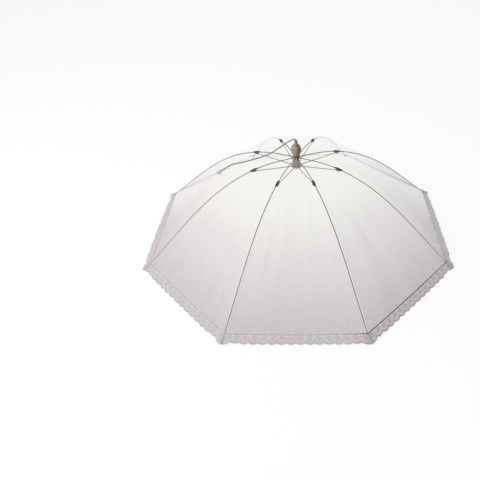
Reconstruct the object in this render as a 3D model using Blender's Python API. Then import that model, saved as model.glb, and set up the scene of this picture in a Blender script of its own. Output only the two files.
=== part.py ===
"""Folding mesh food cover: a light umbrella with eight bowed wire ribs, a net canopy and a lace trim.

The frame stands on the table at z = 0 with its axis along +Z. Flat sides of the octagon face X and Y.
Each rib turns in a slotted crown under the knob, and each strut joins a rib to the runner below it.
"""

import math

import bmesh
import bpy
from mathutils import Matrix, Vector

for old in list(bpy.data.objects):
    bpy.data.objects.remove(old, do_unlink=True)

# Clearances and overruns
GAP = 0.0003
RUNNING_GAP = 0.0005
OVERRUN = 0.002
WELD = 0.000001

# How finely round shapes are divided
TURN_STEPS = 24
EYE_STEPS = 12
PIN_STEPS = 8
RING_SIDES = 6
WIRE_RESOLUTION = 1
CORD_RESOLUTION = 2
WALK_STEPS = 300
SMOOTH_ANGLE = math.radians(35)
BALL_SHARES = (-0.5, 0, 0.5)
BEAD_SHARES = (-1, -0.75, -0.4, 0, 0.4, 0.75, 1)

# Ribs: bowed spring wire, measured along the wire from its pivot in the crown
RIB_COUNT = 8
RIB_WIRE_RADIUS = 0.001
RIB_LENGTH_TO_HEM = 0.462
RIB_BEND_START = 0.033
RIB_BEND_END = 0.364
RIB_SLOPE_AT_HEM = math.radians(42.4)
RIB_SEGMENTS_TO_JOINT = 4
RIB_SEGMENTS_PAST_JOINT = 13

# Caps on the ribs' ends, which stand on the table
TIP_BALL_PAST_HEM = 0.0185
TIP_BALL_RADIUS = 0.0022
TIP_FLAT_DEPTH = 0.0004
TIP_SLEEVE_LENGTH = 0.009
TIP_SLEEVE_WALL = 0.0005
TIP_SOCKET_DEPTH = 0.0075

# Eyes bent and flattened at the wires' ends, and the two wire rings that they turn on
RING_WIRE_RADIUS = 0.0006
EYE_WALL = 0.001
EYE_THICKNESS = 0.002

# Struts, and the clip on each rib that carries a strut's outer pin
STRUT_WIRE_RADIUS = 0.0009
JOINT_ALONG_RIB = 0.1035
JOINT_LENGTH = 0.0195
JOINT_WALL = 0.0006
EAR_WALL = 0.0012
EAR_LENGTH = 0.006
EAR_FOOT_LENGTH = 0.009
EAR_BELOW_PIN = 0.002
PIN_RADIUS = 0.0006
PIN_HEAD_RADIUS = 0.0011
PIN_HEAD_HEIGHT = 0.0005

# Pull cord and its bore
CORD_RADIUS = 0.0015
BEAD_RADIUS = 0.005
BEAD_LENGTH = 0.012
BEAD_END_RADIUS = 0.0022
KNOT_RADIUS = 0.0025
KNOT_ABOVE_RUNNER_FOOT = 0.0065

# Crown, the slotted ring that carries the ribs
SPIGOT_WALL = 0.0011
CROWN_INNER_WALL = 0.002
CROWN_RIM_WALL = 0.0012
CROWN_FLOOR_BELOW_PIVOT = 0.0022
CROWN_CHAMFER = 0.0005

# Net and the washer that clamps it
NET_THICKNESS = 0.0004
NET_SAG = 0.004
NET_ABOVE_JOINTS = 0.0012
NET_ROWS = 13
NET_HALF_COLUMNS = 3
NET_HOLE_MARGIN = 0.0005
WASHER_THICKNESS = 0.0008
WASHER_RIM = 0.0024

# Lace trim, which slopes from the hem down to just over the table
LACE_WIDTH = 0.0215
LACE_THICKNESS = 0.0006
LACE_EDGE_HEIGHT = 0.0035
SCALLOPS_PER_HALF_SIDE = 8
SCALLOP_DEPTH = 0.0035
SCALLOP_POINTS = 3

# Knob and the finial on it
KNOB_HEIGHT = 0.029
KNOB_BULGE = 0.0022
KNOB_WIDEST_SHARE = 0.62
KNOB_OUTLINE_POINTS = 5
KNOB_SHOULDER = 0.0012
KNOB_COLLAR_WALL = 0.001
KNOB_BASE_STEP = 0.0024
SPIGOT_REACH_IN_KNOB = 0.0035
KNOB_CAVITY_CLEARANCE = 0.001
FINIAL_HEIGHT = 0.012
FINIAL_RADIUS = 0.0047
FINIAL_TOP_RADIUS = 0.0042
FINIAL_LIP = 0.0018
FINIAL_MOUTH_WALL = 0.0006

# Runner, the bell that the struts turn in and that the cord draws up into the crown
RUNNER_FLOOR_BELOW_PIVOT = 0.0026
RUNNER_RIM_RADIUS = 0.0125
RUNNER_RIM_TOP = 0.0008
RUNNER_WAIST_RADIUS = 0.0088
RUNNER_WAIST_HEIGHT = 0.0075
RUNNER_NECK_RADIUS = 0.0062
RUNNER_SLOT_TOP = 0.0085
RUNNER_CAVITY_TOP = 0.0105
SPIGOT_CHAMFER = 0.0006

# The pull cord's own route in metres, from the finial's mouth to the bead, with its points chosen by hand
CORD_ROUTE = [
    (0.0000, 0.0000, 0.2735), (-0.0003, 0.0000, 0.2749), (-0.0016, 0.0000, 0.2764),
    (-0.0040, 0.0000, 0.2769), (-0.0072, 0.0000, 0.2763), (-0.0110, 0.0000, 0.2746),
    (-0.0170, 0.0000, 0.2710), (-0.0250, 0.0002, 0.2655), (-0.0340, 0.0005, 0.2588),
    (-0.0430, 0.0009, 0.2520), (-0.0520, 0.0014, 0.2453), (-0.0610, 0.0019, 0.2391),
    (-0.0700, 0.0022, 0.2341), (-0.0790, 0.0016, 0.2307), (-0.0900, 0.0000, 0.2276),
    (-0.1020, -0.0008, 0.2243), (-0.1200, -0.0010, 0.2188), (-0.1360, 0.0022, 0.2128),
    (-0.1520, 0.0085, 0.2058), (-0.1640, 0.0132, 0.1998), (-0.1750, 0.0127, 0.1940),
    (-0.1840, 0.0098, 0.1893), (-0.1925, 0.0078, 0.1849),
]
CORD_STEP = 0.005

# Sizes that follow from the ones above
HALF_STEP = math.pi / RIB_COUNT
EYE_HOLE_RADIUS = RING_WIRE_RADIUS + GAP
EYE_RADIUS = EYE_HOLE_RADIUS + EYE_WALL
SLOT_WIDTH = EYE_THICKNESS + 2 * GAP
CORD_BORE_RADIUS = CORD_RADIUS + GAP
SPIGOT_RADIUS = CORD_BORE_RADIUS + SPIGOT_WALL
CROWN_BORE_RADIUS = SPIGOT_RADIUS + RUNNING_GAP
SLOT_INNER_RADIUS = CROWN_BORE_RADIUS + CROWN_INNER_WALL
PIVOT_RING_RADIUS = SLOT_INNER_RADIUS + GAP + EYE_RADIUS
GROOVE_HALF_WIDTH = RING_WIRE_RADIUS + GAP
CROWN_RADIUS = PIVOT_RING_RADIUS + GROOVE_HALF_WIDTH + CROWN_RIM_WALL
JOINT_WIDTH = SLOT_WIDTH + 2 * EAR_WALL
JOINT_HALF_HEIGHT = RIB_WIRE_RADIUS + GAP + JOINT_WALL
PIN_BELOW_RIB = RIB_WIRE_RADIUS + GAP + EYE_RADIUS
NET_LIFT = JOINT_HALF_HEIGHT + NET_ABOVE_JOINTS
KNOB_RADIUS = CROWN_RADIUS + KNOB_BULGE
COLLAR_RADIUS = CROWN_BORE_RADIUS + KNOB_COLLAR_WALL
WASHER_BORE_RADIUS = COLLAR_RADIUS + GAP
WASHER_RADIUS = WASHER_BORE_RADIUS + WASHER_RIM
NET_HOLE_RADIUS = (WASHER_BORE_RADIUS + NET_HOLE_MARGIN) / math.cos(HALF_STEP)
TIP_SLEEVE_RADIUS = RIB_WIRE_RADIUS + GAP + TIP_SLEEVE_WALL


def rib_slope(along):
    """Angle below level of a rib's wire, at a length along it from its pivot."""
    bent = (along - RIB_BEND_START) / (RIB_BEND_END - RIB_BEND_START)
    return RIB_SLOPE_AT_HEM * math.sin(min(max(bent, 0), 1) * math.pi / 2)


def rib_place(along, lift=0):
    """Point at a length along the rib, lifted square off the wire, from the pivot: (out, 0, up)."""
    step = along / WALK_STEPS
    slopes = [rib_slope((i + 0.5) * step) for i in range(WALK_STEPS)]
    out = step * sum(math.cos(slope) for slope in slopes)
    drop = step * sum(math.sin(slope) for slope in slopes)
    slope = rib_slope(along)
    return Vector((out + lift * math.sin(slope), 0, lift * math.cos(slope) - drop))


TIP_BALL_PLACE = rib_place(RIB_LENGTH_TO_HEM + TIP_BALL_PAST_HEM)
PIVOT_HEIGHT = TIP_BALL_RADIUS - TIP_FLAT_DEPTH - TIP_BALL_PLACE.z
STRUT_PIN = rib_place(JOINT_ALONG_RIB, -PIN_BELOW_RIB)
STRUT_RUN = Vector((-STRUT_PIN.x, 0, STRUT_PIN.z))
RUNNER_PIVOT_HEIGHT = PIVOT_HEIGHT + 2 * STRUT_PIN.z
CROWN_FLOOR = PIVOT_HEIGHT - CROWN_FLOOR_BELOW_PIVOT
CROWN_TOP = PIVOT_HEIGHT + NET_LIFT - GAP
WASHER_FLOOR = CROWN_TOP + GAP + NET_THICKNESS + GAP
KNOB_FLOOR = WASHER_FLOOR + WASHER_THICKNESS + GAP
KNOB_TOP = KNOB_FLOOR + KNOB_HEIGHT
FINIAL_FLOOR = KNOB_TOP + GAP
FINIAL_TOP = FINIAL_FLOOR + FINIAL_HEIGHT
SPIGOT_TOP = KNOB_FLOOR + SPIGOT_REACH_IN_KNOB
RUNNER_FLOOR = RUNNER_PIVOT_HEIGHT - RUNNER_FLOOR_BELOW_PIVOT
RUNNER_CAVITY_CEILING = RUNNER_PIVOT_HEIGHT + RUNNER_CAVITY_TOP


def finish(name, colour, roughness, metallic=0.0, alpha=1.0):
    """Plain material in one colour."""
    material = bpy.data.materials.new(name)
    material.use_nodes = True
    shader = material.node_tree.nodes["Principled BSDF"]
    shader.inputs["Base Color"].default_value = (*colour, 1.0)
    shader.inputs["Roughness"].default_value = roughness
    shader.inputs["Metallic"].default_value = metallic
    shader.inputs["Alpha"].default_value = alpha
    return material


BEIGE_PLASTIC = finish("beige_plastic", (0.42, 0.34, 0.25), 0.4)
RUNNER_PLASTIC = finish("runner_plastic", (0.33, 0.30, 0.21), 0.35)
RIB_STEEL = finish("rib_steel", (0.09, 0.085, 0.09), 0.35, 0.9)
STRUT_STEEL = finish("strut_steel", (0.34, 0.29, 0.23), 0.35, 0.8)
RING_STEEL = finish("ring_steel", (0.30, 0.30, 0.31), 0.3, 0.9)
BLACK_PLASTIC = finish("black_plastic", (0.02, 0.02, 0.022), 0.45)
NET = finish("net", (0.88, 0.87, 0.86), 0.8, alpha=0.5)
LACE = finish("lace", (0.86, 0.83, 0.83), 0.85)
CORD = finish("cord", (0.52, 0.46, 0.41), 0.8)


def body_mesh(name, body):
    """Mesh data made from a bmesh, which is freed."""
    mesh = bpy.data.meshes.new(name)
    body.to_mesh(mesh)
    body.free()
    return mesh


def turned(name, outline, steps=TURN_STEPS):
    """Body made by turning (radius, height) points about Z: a ring, or solid where the ends have radius 0."""
    body = bmesh.new()
    corners = [body.verts.new((radius, 0, height)) for radius, height in outline]
    first = 1 if outline[0][0] == 0 else 0
    edges = [body.edges.new((corners[i - 1], corners[i])) for i in range(first, len(corners))]
    bmesh.ops.spin(
        body, geom=corners + edges, cent=(0, 0, 0), axis=(0, 0, 1), angle=2 * math.pi, steps=steps, use_merge=True
    )
    bmesh.ops.remove_doubles(body, verts=body.verts, dist=WELD)
    bmesh.ops.recalc_face_normals(body, faces=body.faces)
    return body_mesh(name, body)


def tube(name, points, radius, resolution):
    """Round curve through points, with closed flat ends."""
    curve = bpy.data.curves.new(name, "CURVE")
    curve.dimensions = "3D"
    curve.bevel_depth = radius
    curve.bevel_resolution = resolution
    curve.use_fill_caps = True
    spline = curve.splines.new("POLY")
    spline.points.add(len(points) - 1)
    for knot, point in zip(spline.points, points):
        knot.co = (*point, 1)
    return curve


def wire(name, points, radius):
    """Mesh of a round wire through points."""
    guide = bpy.data.objects.new(name, tube(name, points, radius, WIRE_RESOLUTION))
    mesh = bpy.data.meshes.new_from_object(guide)
    bpy.data.objects.remove(guide)
    return mesh


def box(name, low, high, turn=0):
    """Block between two corners, turned about Z."""
    body = bmesh.new()
    centre = (Vector(low) + Vector(high)) / 2
    size = Vector(high) - Vector(low)
    place = Matrix.Rotation(turn, 4, "Z") @ Matrix.Translation(centre) @ Matrix.Diagonal((*size, 1))
    bmesh.ops.create_cube(body, size=1, matrix=place)
    return body_mesh(name, body)


def together(name, meshes):
    """Several meshes as one, each still its own body."""
    body = bmesh.new()
    for mesh in meshes:
        body.from_mesh(mesh)
    return body_mesh(name, body)


def placed(mesh, matrix):
    """The same mesh after it has been moved."""
    mesh.transform(matrix)
    return mesh


def evaluated(worker):
    """Mesh that an object's modifiers make, after which the object is removed."""
    graph = bpy.context.evaluated_depsgraph_get()
    mesh = bpy.data.meshes.new_from_object(worker.evaluated_get(graph))
    bpy.data.objects.remove(worker)
    return mesh


def combined(name, base, steps):
    """Mesh made from base by steps of ("UNION" or "DIFFERENCE", other mesh)."""
    worker = bpy.data.objects.new(name, base)
    bpy.context.collection.objects.link(worker)
    others = []
    for operation, mesh in steps:
        other = bpy.data.objects.new(name + "_tool", mesh)
        other.hide_render = True
        other.display_type = "WIRE"
        bpy.context.collection.objects.link(other)
        boolean = worker.modifiers.new(operation.lower(), "BOOLEAN")
        boolean.operation = operation
        boolean.object = other
        others.append(other)
    mesh = evaluated(worker)
    for other in others:
        bpy.data.objects.remove(other)
    mesh.name = name
    return mesh


def solidified(name, sheet, thickness):
    """Closed body grown from an open sheet on the side that its faces look to."""
    worker = bpy.data.objects.new(name, sheet)
    bpy.context.collection.objects.link(worker)
    wall = worker.modifiers.new("wall", "SOLIDIFY")
    wall.thickness = thickness
    wall.offset = 1
    mesh = evaluated(worker)
    mesh.name = name
    return mesh


def sheet(name, rows):
    """Open sheet through rows of points, with its faces looking up."""
    body = bmesh.new()
    grid = [[body.verts.new(point) for point in row] for row in rows]
    for row, following in zip(grid, grid[1:]):
        for i in range(len(row) - 1):
            body.faces.new((row[i], following[i], following[i + 1], row[i + 1]))
    body.normal_update()
    if sum(face.normal.z for face in body.faces) < 0:
        bmesh.ops.reverse_faces(body, faces=body.faces)
    return body_mesh(name, body)


def piece(name, mesh, material, parent=None):
    """One named sub-part, with its own material, on its parent."""
    made = bpy.data.objects.new(name, mesh)
    bpy.context.collection.objects.link(made)
    if not mesh.materials:
        mesh.materials.append(material)
    if isinstance(mesh, bpy.types.Mesh):
        mesh.shade_smooth()
        mesh.set_sharp_from_angle(angle=SMOOTH_ANGLE)
    made.parent = parent
    return made


def hinge_frame(name, place, parent=None):
    """Empty on a joint's axis, which its pieces turn with."""
    frame = bpy.data.objects.new(name, None)
    frame.empty_display_size = EYE_RADIUS
    bpy.context.collection.objects.link(frame)
    frame.matrix_local = place
    frame.parent = parent
    return frame


UPRIGHT_TO_AXLE = Matrix.Rotation(math.pi / 2, 4, "X")


def eye(hole_radius):
    """Flat eye about the local Y axis, at a wire's end."""
    half = EYE_THICKNESS / 2
    outline = [(hole_radius, -half), (EYE_RADIUS, -half), (EYE_RADIUS, half), (hole_radius, half)]
    return placed(turned("eye", outline, EYE_STEPS), UPRIGHT_TO_AXLE)


def ring(name, height, radius, wire_radius):
    """Closed ring of round wire about Z."""
    outline = []
    for i in range(RING_SIDES):
        angle = 2 * math.pi * i / RING_SIDES
        outline.append((radius + wire_radius * math.cos(angle), height + wire_radius * math.sin(angle)))
    return turned(name, outline)


def slots(name, low, high):
    """Eight radial slots as cutters, one for each rib."""
    reach = RUNNER_RIM_RADIUS + CROWN_RADIUS + OVERRUN
    half = SLOT_WIDTH / 2
    corners = (SLOT_INNER_RADIUS, -half, low), (reach, half, high)
    return together(name, [box(name, *corners, turn=(2 * i + 1) * HALF_STEP) for i in range(RIB_COUNT)])


def crown_mesh():
    """Slotted ring with a groove in its floor for the ring of wire."""
    groove_ceiling = PIVOT_HEIGHT + GROOVE_HALF_WIDTH
    outline = [
        (CROWN_BORE_RADIUS, CROWN_FLOOR),
        (PIVOT_RING_RADIUS - GROOVE_HALF_WIDTH, CROWN_FLOOR),
        (PIVOT_RING_RADIUS - GROOVE_HALF_WIDTH, groove_ceiling),
        (PIVOT_RING_RADIUS + GROOVE_HALF_WIDTH, groove_ceiling),
        (PIVOT_RING_RADIUS + GROOVE_HALF_WIDTH, CROWN_FLOOR),
        (CROWN_RADIUS - CROWN_CHAMFER, CROWN_FLOOR),
        (CROWN_RADIUS, CROWN_FLOOR + CROWN_CHAMFER),
        (CROWN_RADIUS, CROWN_TOP),
        (CROWN_BORE_RADIUS, CROWN_TOP),
    ]
    cutters = slots("crown_slots", CROWN_FLOOR - OVERRUN, CROWN_TOP + OVERRUN)
    return combined("rib_crown", turned("rib_crown", outline), [("DIFFERENCE", cutters)])


def knob_mesh():
    """Egg-shaped knob with a collar that passes through the net, a cavity for the spigot and a cord bore."""
    base_radius = CROWN_RADIUS - KNOB_BASE_STEP
    top_radius = FINIAL_RADIUS + KNOB_SHOULDER
    collar_floor = CROWN_TOP + GAP
    cavity_ceiling = SPIGOT_TOP + KNOB_CAVITY_CLEARANCE
    outline = [(CROWN_BORE_RADIUS, collar_floor), (COLLAR_RADIUS, collar_floor), (COLLAR_RADIUS, KNOB_FLOOR)]
    for i in range(KNOB_OUTLINE_POINTS):
        share = i / KNOB_OUTLINE_POINTS
        radius = KNOB_RADIUS - (KNOB_RADIUS - base_radius) * (1 - share) ** 2
        outline.append((radius, KNOB_FLOOR + KNOB_HEIGHT * KNOB_WIDEST_SHARE * share))
    for i in range(KNOB_OUTLINE_POINTS + 1):
        angle = math.pi / 2 * i / KNOB_OUTLINE_POINTS
        radius = top_radius + (KNOB_RADIUS - top_radius) * math.cos(angle)
        share = KNOB_WIDEST_SHARE + (1 - KNOB_WIDEST_SHARE) * math.sin(angle)
        outline.append((radius, KNOB_FLOOR + KNOB_HEIGHT * share))
    outline += [(CORD_BORE_RADIUS, KNOB_TOP), (CORD_BORE_RADIUS, cavity_ceiling), (CROWN_BORE_RADIUS, cavity_ceiling)]
    return turned("top_knob", outline)


def finial_mesh():
    """Short tapered sleeve that the cord comes out of."""
    outline = [
        (CORD_BORE_RADIUS, FINIAL_FLOOR),
        (FINIAL_RADIUS, FINIAL_FLOOR),
        (FINIAL_TOP_RADIUS, FINIAL_TOP - FINIAL_LIP),
        (CORD_BORE_RADIUS + FINIAL_MOUTH_WALL, FINIAL_TOP),
        (CORD_BORE_RADIUS, FINIAL_TOP),
    ]
    return turned("finial", outline)


def washer_mesh():
    """Flat washer that clamps the net on the crown."""
    top = WASHER_FLOOR + WASHER_THICKNESS
    outline = [
        (WASHER_BORE_RADIUS, WASHER_FLOOR),
        (WASHER_RADIUS, WASHER_FLOOR),
        (WASHER_RADIUS, top),
        (WASHER_BORE_RADIUS, top),
    ]
    return turned("net_washer", outline)


def runner_mesh():
    """Slotted bell with a spigot that enters the crown, and a hollow for the cord's knot."""
    groove_ceiling = RUNNER_PIVOT_HEIGHT + GROOVE_HALF_WIDTH
    cavity_radius = KNOT_RADIUS + GAP
    outline = [
        (cavity_radius, RUNNER_FLOOR),
        (PIVOT_RING_RADIUS - GROOVE_HALF_WIDTH, RUNNER_FLOOR),
        (PIVOT_RING_RADIUS - GROOVE_HALF_WIDTH, groove_ceiling),
        (PIVOT_RING_RADIUS + GROOVE_HALF_WIDTH, groove_ceiling),
        (PIVOT_RING_RADIUS + GROOVE_HALF_WIDTH, RUNNER_FLOOR),
        (RUNNER_RIM_RADIUS, RUNNER_FLOOR),
        (RUNNER_RIM_RADIUS, RUNNER_PIVOT_HEIGHT + RUNNER_RIM_TOP),
        (RUNNER_WAIST_RADIUS, RUNNER_PIVOT_HEIGHT + RUNNER_WAIST_HEIGHT),
        (RUNNER_NECK_RADIUS, CROWN_FLOOR - GAP),
        (SPIGOT_RADIUS, CROWN_FLOOR - GAP),
        (SPIGOT_RADIUS, SPIGOT_TOP - SPIGOT_CHAMFER),
        (SPIGOT_RADIUS - SPIGOT_CHAMFER, SPIGOT_TOP),
        (CORD_BORE_RADIUS, SPIGOT_TOP),
        (CORD_BORE_RADIUS, RUNNER_CAVITY_CEILING),
        (cavity_radius, RUNNER_CAVITY_CEILING),
    ]
    cutters = slots("runner_slots", RUNNER_FLOOR - OVERRUN, RUNNER_PIVOT_HEIGHT + RUNNER_SLOT_TOP)
    return combined("runner", turned("runner", outline), [("DIFFERENCE", cutters)])


def knot_mesh():
    """The cord's knot in the runner, with the cord above it up to the spigot's end."""
    centre = RUNNER_FLOOR + KNOT_ABOVE_RUNNER_FOOT
    outline = [(0, centre - KNOT_RADIUS)]
    for share in BALL_SHARES:
        outline.append((KNOT_RADIUS * math.sqrt(1 - share * share), centre + KNOT_RADIUS * share))
    outline += [(CORD_RADIUS, centre + KNOT_RADIUS), (CORD_RADIUS, SPIGOT_TOP), (0, SPIGOT_TOP)]
    return turned("cord_knot", outline, PIN_STEPS)


def inner_cord_mesh():
    """The cord inside the knob and the finial."""
    low = SPIGOT_TOP + GAP
    high = FINIAL_TOP
    return turned("cord_inner", [(0, low), (CORD_RADIUS, low), (CORD_RADIUS, high), (0, high)], PIN_STEPS)


def joint_lengths():
    """Where the rib's wire is bent in and beside its joint clip, along the rib."""
    reach = JOINT_LENGTH / 2 + OVERRUN
    return [JOINT_ALONG_RIB - reach, JOINT_ALONG_RIB, JOINT_ALONG_RIB + reach]


def rib_mesh():
    """Bowed wire with a flat eye at its pivot."""
    start = (EYE_HOLE_RADIUS + EYE_RADIUS) / 2
    end = RIB_LENGTH_TO_HEM + TIP_BALL_PAST_HEM - TIP_BALL_RADIUS
    before, middle, after = joint_lengths()
    to_joint = [start + (before - start) * i / RIB_SEGMENTS_TO_JOINT for i in range(RIB_SEGMENTS_TO_JOINT)]
    past_joint = [end - (end - after) * i / RIB_SEGMENTS_PAST_JOINT for i in range(RIB_SEGMENTS_PAST_JOINT)]
    lengths = to_joint + [before, middle, after] + past_joint[::-1]
    bowed = wire("rib", [rib_place(along) for along in lengths], RIB_WIRE_RADIUS)
    return combined("rib", bowed, [("UNION", eye(EYE_HOLE_RADIUS))])


def tip_mesh():
    """Cap on the rib's end: a sleeve and a ball, cut flat where it stands on the table."""
    socket = RIB_WIRE_RADIUS + GAP
    outline = [(0, TIP_SOCKET_DEPTH), (socket, TIP_SOCKET_DEPTH), (socket, 0), (TIP_SLEEVE_RADIUS, 0)]
    for share in BALL_SHARES:
        radius = TIP_BALL_RADIUS * math.sqrt(1 - share * share)
        outline.append((radius, TIP_SLEEVE_LENGTH + TIP_BALL_RADIUS * share))
    outline.append((0, TIP_SLEEVE_LENGTH + TIP_BALL_RADIUS))
    cap = turned("rib_tip", outline, EYE_STEPS)
    start = rib_place(RIB_LENGTH_TO_HEM + TIP_BALL_PAST_HEM - TIP_SLEEVE_LENGTH)
    lean = Matrix.Rotation(math.pi / 2 + RIB_SLOPE_AT_HEM, 4, "Y")
    cap.transform(Matrix.Translation(start) @ lean)
    body = bmesh.new()
    body.from_mesh(cap)
    cut = bmesh.ops.bisect_plane(
        body, geom=body.verts[:] + body.edges[:] + body.faces[:],
        plane_co=(0, 0, -PIVOT_HEIGHT), plane_no=(0, 0, -1), clear_outer=True,
    )
    rim = [edge for edge in cut["geom_cut"] if isinstance(edge, bmesh.types.BMEdge)]
    bmesh.ops.contextual_create(body, geom=rim)
    bmesh.ops.recalc_face_normals(body, faces=body.faces)
    return body_mesh("rib_tip", body)


def joint_mesh():
    """Clip moulded round the rib, with two ears below it and the strut's pin riveted in them."""
    half_length = JOINT_LENGTH / 2
    half_width = JOINT_WIDTH / 2
    slot_half = SLOT_WIDTH / 2
    ear_low = -PIN_BELOW_RIB - EAR_BELOW_PIN
    side = [
        (-half_length, JOINT_HALF_HEIGHT), (-half_length, -JOINT_HALF_HEIGHT),
        (-EAR_FOOT_LENGTH / 2, -JOINT_HALF_HEIGHT), (-EAR_LENGTH / 2, ear_low),
        (EAR_LENGTH / 2, ear_low), (EAR_FOOT_LENGTH / 2, -JOINT_HALF_HEIGHT),
        (half_length, -JOINT_HALF_HEIGHT), (half_length, JOINT_HALF_HEIGHT),
    ]
    body = bmesh.new()
    face = body.faces.new([body.verts.new((x, -half_width, z)) for x, z in side])
    grown = bmesh.ops.extrude_face_region(body, geom=[face])["geom"]
    moved = [vert for vert in grown if isinstance(vert, bmesh.types.BMVert)]
    bmesh.ops.translate(body, verts=moved, vec=(0, JOINT_WIDTH, 0))
    bmesh.ops.recalc_face_normals(body, faces=body.faces)
    block = body_mesh("rib_joint", body)
    to_rib = Matrix.Translation(rib_place(JOINT_ALONG_RIB)) @ Matrix.Rotation(rib_slope(JOINT_ALONG_RIB), 4, "Y")
    reach = half_length + OVERRUN
    channel = [rib_place(along) for along in joint_lengths()]
    eye_half = EYE_RADIUS + 2 * GAP
    eye_slot = box("eye_slot", (-eye_half, -slot_half, ear_low - OVERRUN), (eye_half, slot_half, -RIB_WIRE_RADIUS))
    ear_ceiling = -JOINT_HALF_HEIGHT - GAP
    ear_slot = box("ear_slot", (-reach, -slot_half, ear_low - OVERRUN), (reach, slot_half, ear_ceiling))
    pin_place = Matrix.Translation((0, 0, -PIN_BELOW_RIB)) @ UPRIGHT_TO_AXLE
    head = half_width + PIN_HEAD_HEIGHT
    head_foot = half_width - EAR_WALL / 2
    pin_outline = [
        (0, -head), (PIN_HEAD_RADIUS, -head), (PIN_HEAD_RADIUS, -head_foot), (PIN_RADIUS, -head_foot),
        (PIN_RADIUS, head_foot), (PIN_HEAD_RADIUS, head_foot), (PIN_HEAD_RADIUS, head), (0, head),
    ]
    steps = [
        ("DIFFERENCE", wire("rib_channel", channel, RIB_WIRE_RADIUS + GAP)),
        ("DIFFERENCE", placed(eye_slot, to_rib)),
        ("DIFFERENCE", placed(ear_slot, to_rib)),
        ("UNION", placed(turned("strut_pin", pin_outline, PIN_STEPS), to_rib @ pin_place)),
    ]
    return combined("rib_joint", placed(block, to_rib), steps)


def strut_mesh():
    """Straight wire from the rib's pin to the runner's ring, with an eye at each end."""
    inset = (EYE_HOLE_RADIUS + EYE_RADIUS) / 2 / STRUT_RUN.length
    straight = wire("strut", [STRUT_RUN * inset, STRUT_RUN * (1 - inset)], STRUT_WIRE_RADIUS)
    inner_eye = placed(eye(EYE_HOLE_RADIUS), Matrix.Translation(STRUT_RUN))
    return combined("strut", straight, [("UNION", eye(PIN_RADIUS + GAP)), ("UNION", inner_eye)])


def across(ridge, share, out=0, down=0):
    """Point at a share of the way from a rib's line to the middle of the side, on the flat between two ribs."""
    radius = PIVOT_RING_RADIUS + ridge.x + out / math.cos(HALF_STEP)
    half_side = radius * math.sin(HALF_STEP)
    reach = min(abs(share) * half_side, half_side - GAP / 2)
    side = math.copysign(reach, share)
    return Vector((
        radius - PIVOT_RING_RADIUS - reach * math.sin(HALF_STEP),
        side * math.cos(HALF_STEP),
        ridge.z - down,
    ))


def sag(along, share):
    """How far the net hangs below the straight line between two ribs."""
    return NET_SAG * (along / RIB_LENGTH_TO_HEM) ** 2 * abs(share) * (2 - abs(share))


def net_mesh():
    """The canopy round one rib, from the crown to the hem and half way to each neighbour."""
    start = NET_HOLE_RADIUS - PIVOT_RING_RADIUS
    shares = [i / NET_HALF_COLUMNS for i in range(-NET_HALF_COLUMNS, NET_HALF_COLUMNS + 1)]
    rows = []
    for i in range(NET_ROWS):
        along = start + (RIB_LENGTH_TO_HEM - start) * i / (NET_ROWS - 1)
        ridge = rib_place(along, NET_LIFT)
        rows.append([across(ridge, share, down=sag(along, share)) for share in shares])
    return solidified("net_panel", sheet("net_panel", rows), NET_THICKNESS)


def lace_mesh():
    """The trim round one rib's corner, from the hem down to a scalloped edge just over the table."""
    ridge = rib_place(RIB_LENGTH_TO_HEM, NET_LIFT)
    columns = SCALLOPS_PER_HALF_SIDE * SCALLOP_POINTS
    hem, edge = [], []
    for i in range(-columns, columns + 1):
        share = i / columns
        hang = sag(RIB_LENGTH_TO_HEM, share)
        fall = PIVOT_HEIGHT + ridge.z - hang - LACE_EDGE_HEIGHT
        spread = math.sqrt(LACE_WIDTH**2 - fall**2)
        bulge = math.sin(math.pi * (abs(i) % SCALLOP_POINTS) / SCALLOP_POINTS)
        kept = 1 - SCALLOP_DEPTH / LACE_WIDTH * (1 - bulge)
        first = GAP / LACE_WIDTH
        hem.append(across(ridge, share, spread * first, hang + fall * first))
        edge.append(across(ridge, share, spread * kept, hang + fall * kept))
    return solidified("lace_trim", sheet("lace_trim", [hem, edge]), LACE_THICKNESS)


def between(before, start, end, after, share):
    """Point on a smooth curve through start and end, led by the points before and after them."""
    lead = (end - before) / 2
    trail = (after - start) / 2
    cube, square = share**3, share**2
    return (
        start * (2 * cube - 3 * square + 1) + lead * (cube - 2 * square + share)
        + end * (3 * square - 2 * cube) + trail * (cube - square)
    )


def cord_points():
    """The route as a smooth curve, with a point about every CORD_STEP."""
    route = [Vector(point) for point in CORD_ROUTE]
    route = [2 * route[0] - route[1]] + route + [2 * route[-1] - route[-2]]
    fine = []
    for i in range(1, len(route) - 2):
        pieces = max(1, round((route[i + 1] - route[i]).length / CORD_STEP))
        fine += [between(*route[i - 1:i + 3], share=k / pieces) for k in range(pieces)]
    return fine + [route[-2]]


def bead_mesh(points):
    """Bead on the cord's end, in line with it."""
    heading = (points[-1] - points[-2]).normalized()
    half = BEAD_LENGTH / 2
    outline = [(0, -half)]
    for share in BEAD_SHARES:
        swell = math.sqrt(1 - share * share)
        outline.append((BEAD_END_RADIUS + (BEAD_RADIUS - BEAD_END_RADIUS) * swell, half * share))
    outline.append((0, half))
    centre = points[-1] + heading * (GAP + half)
    turn = heading.to_track_quat("Z", "Y").to_matrix().to_4x4()
    return placed(turned("cord_bead", outline, EYE_STEPS), Matrix.Translation(centre) @ turn)


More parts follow.
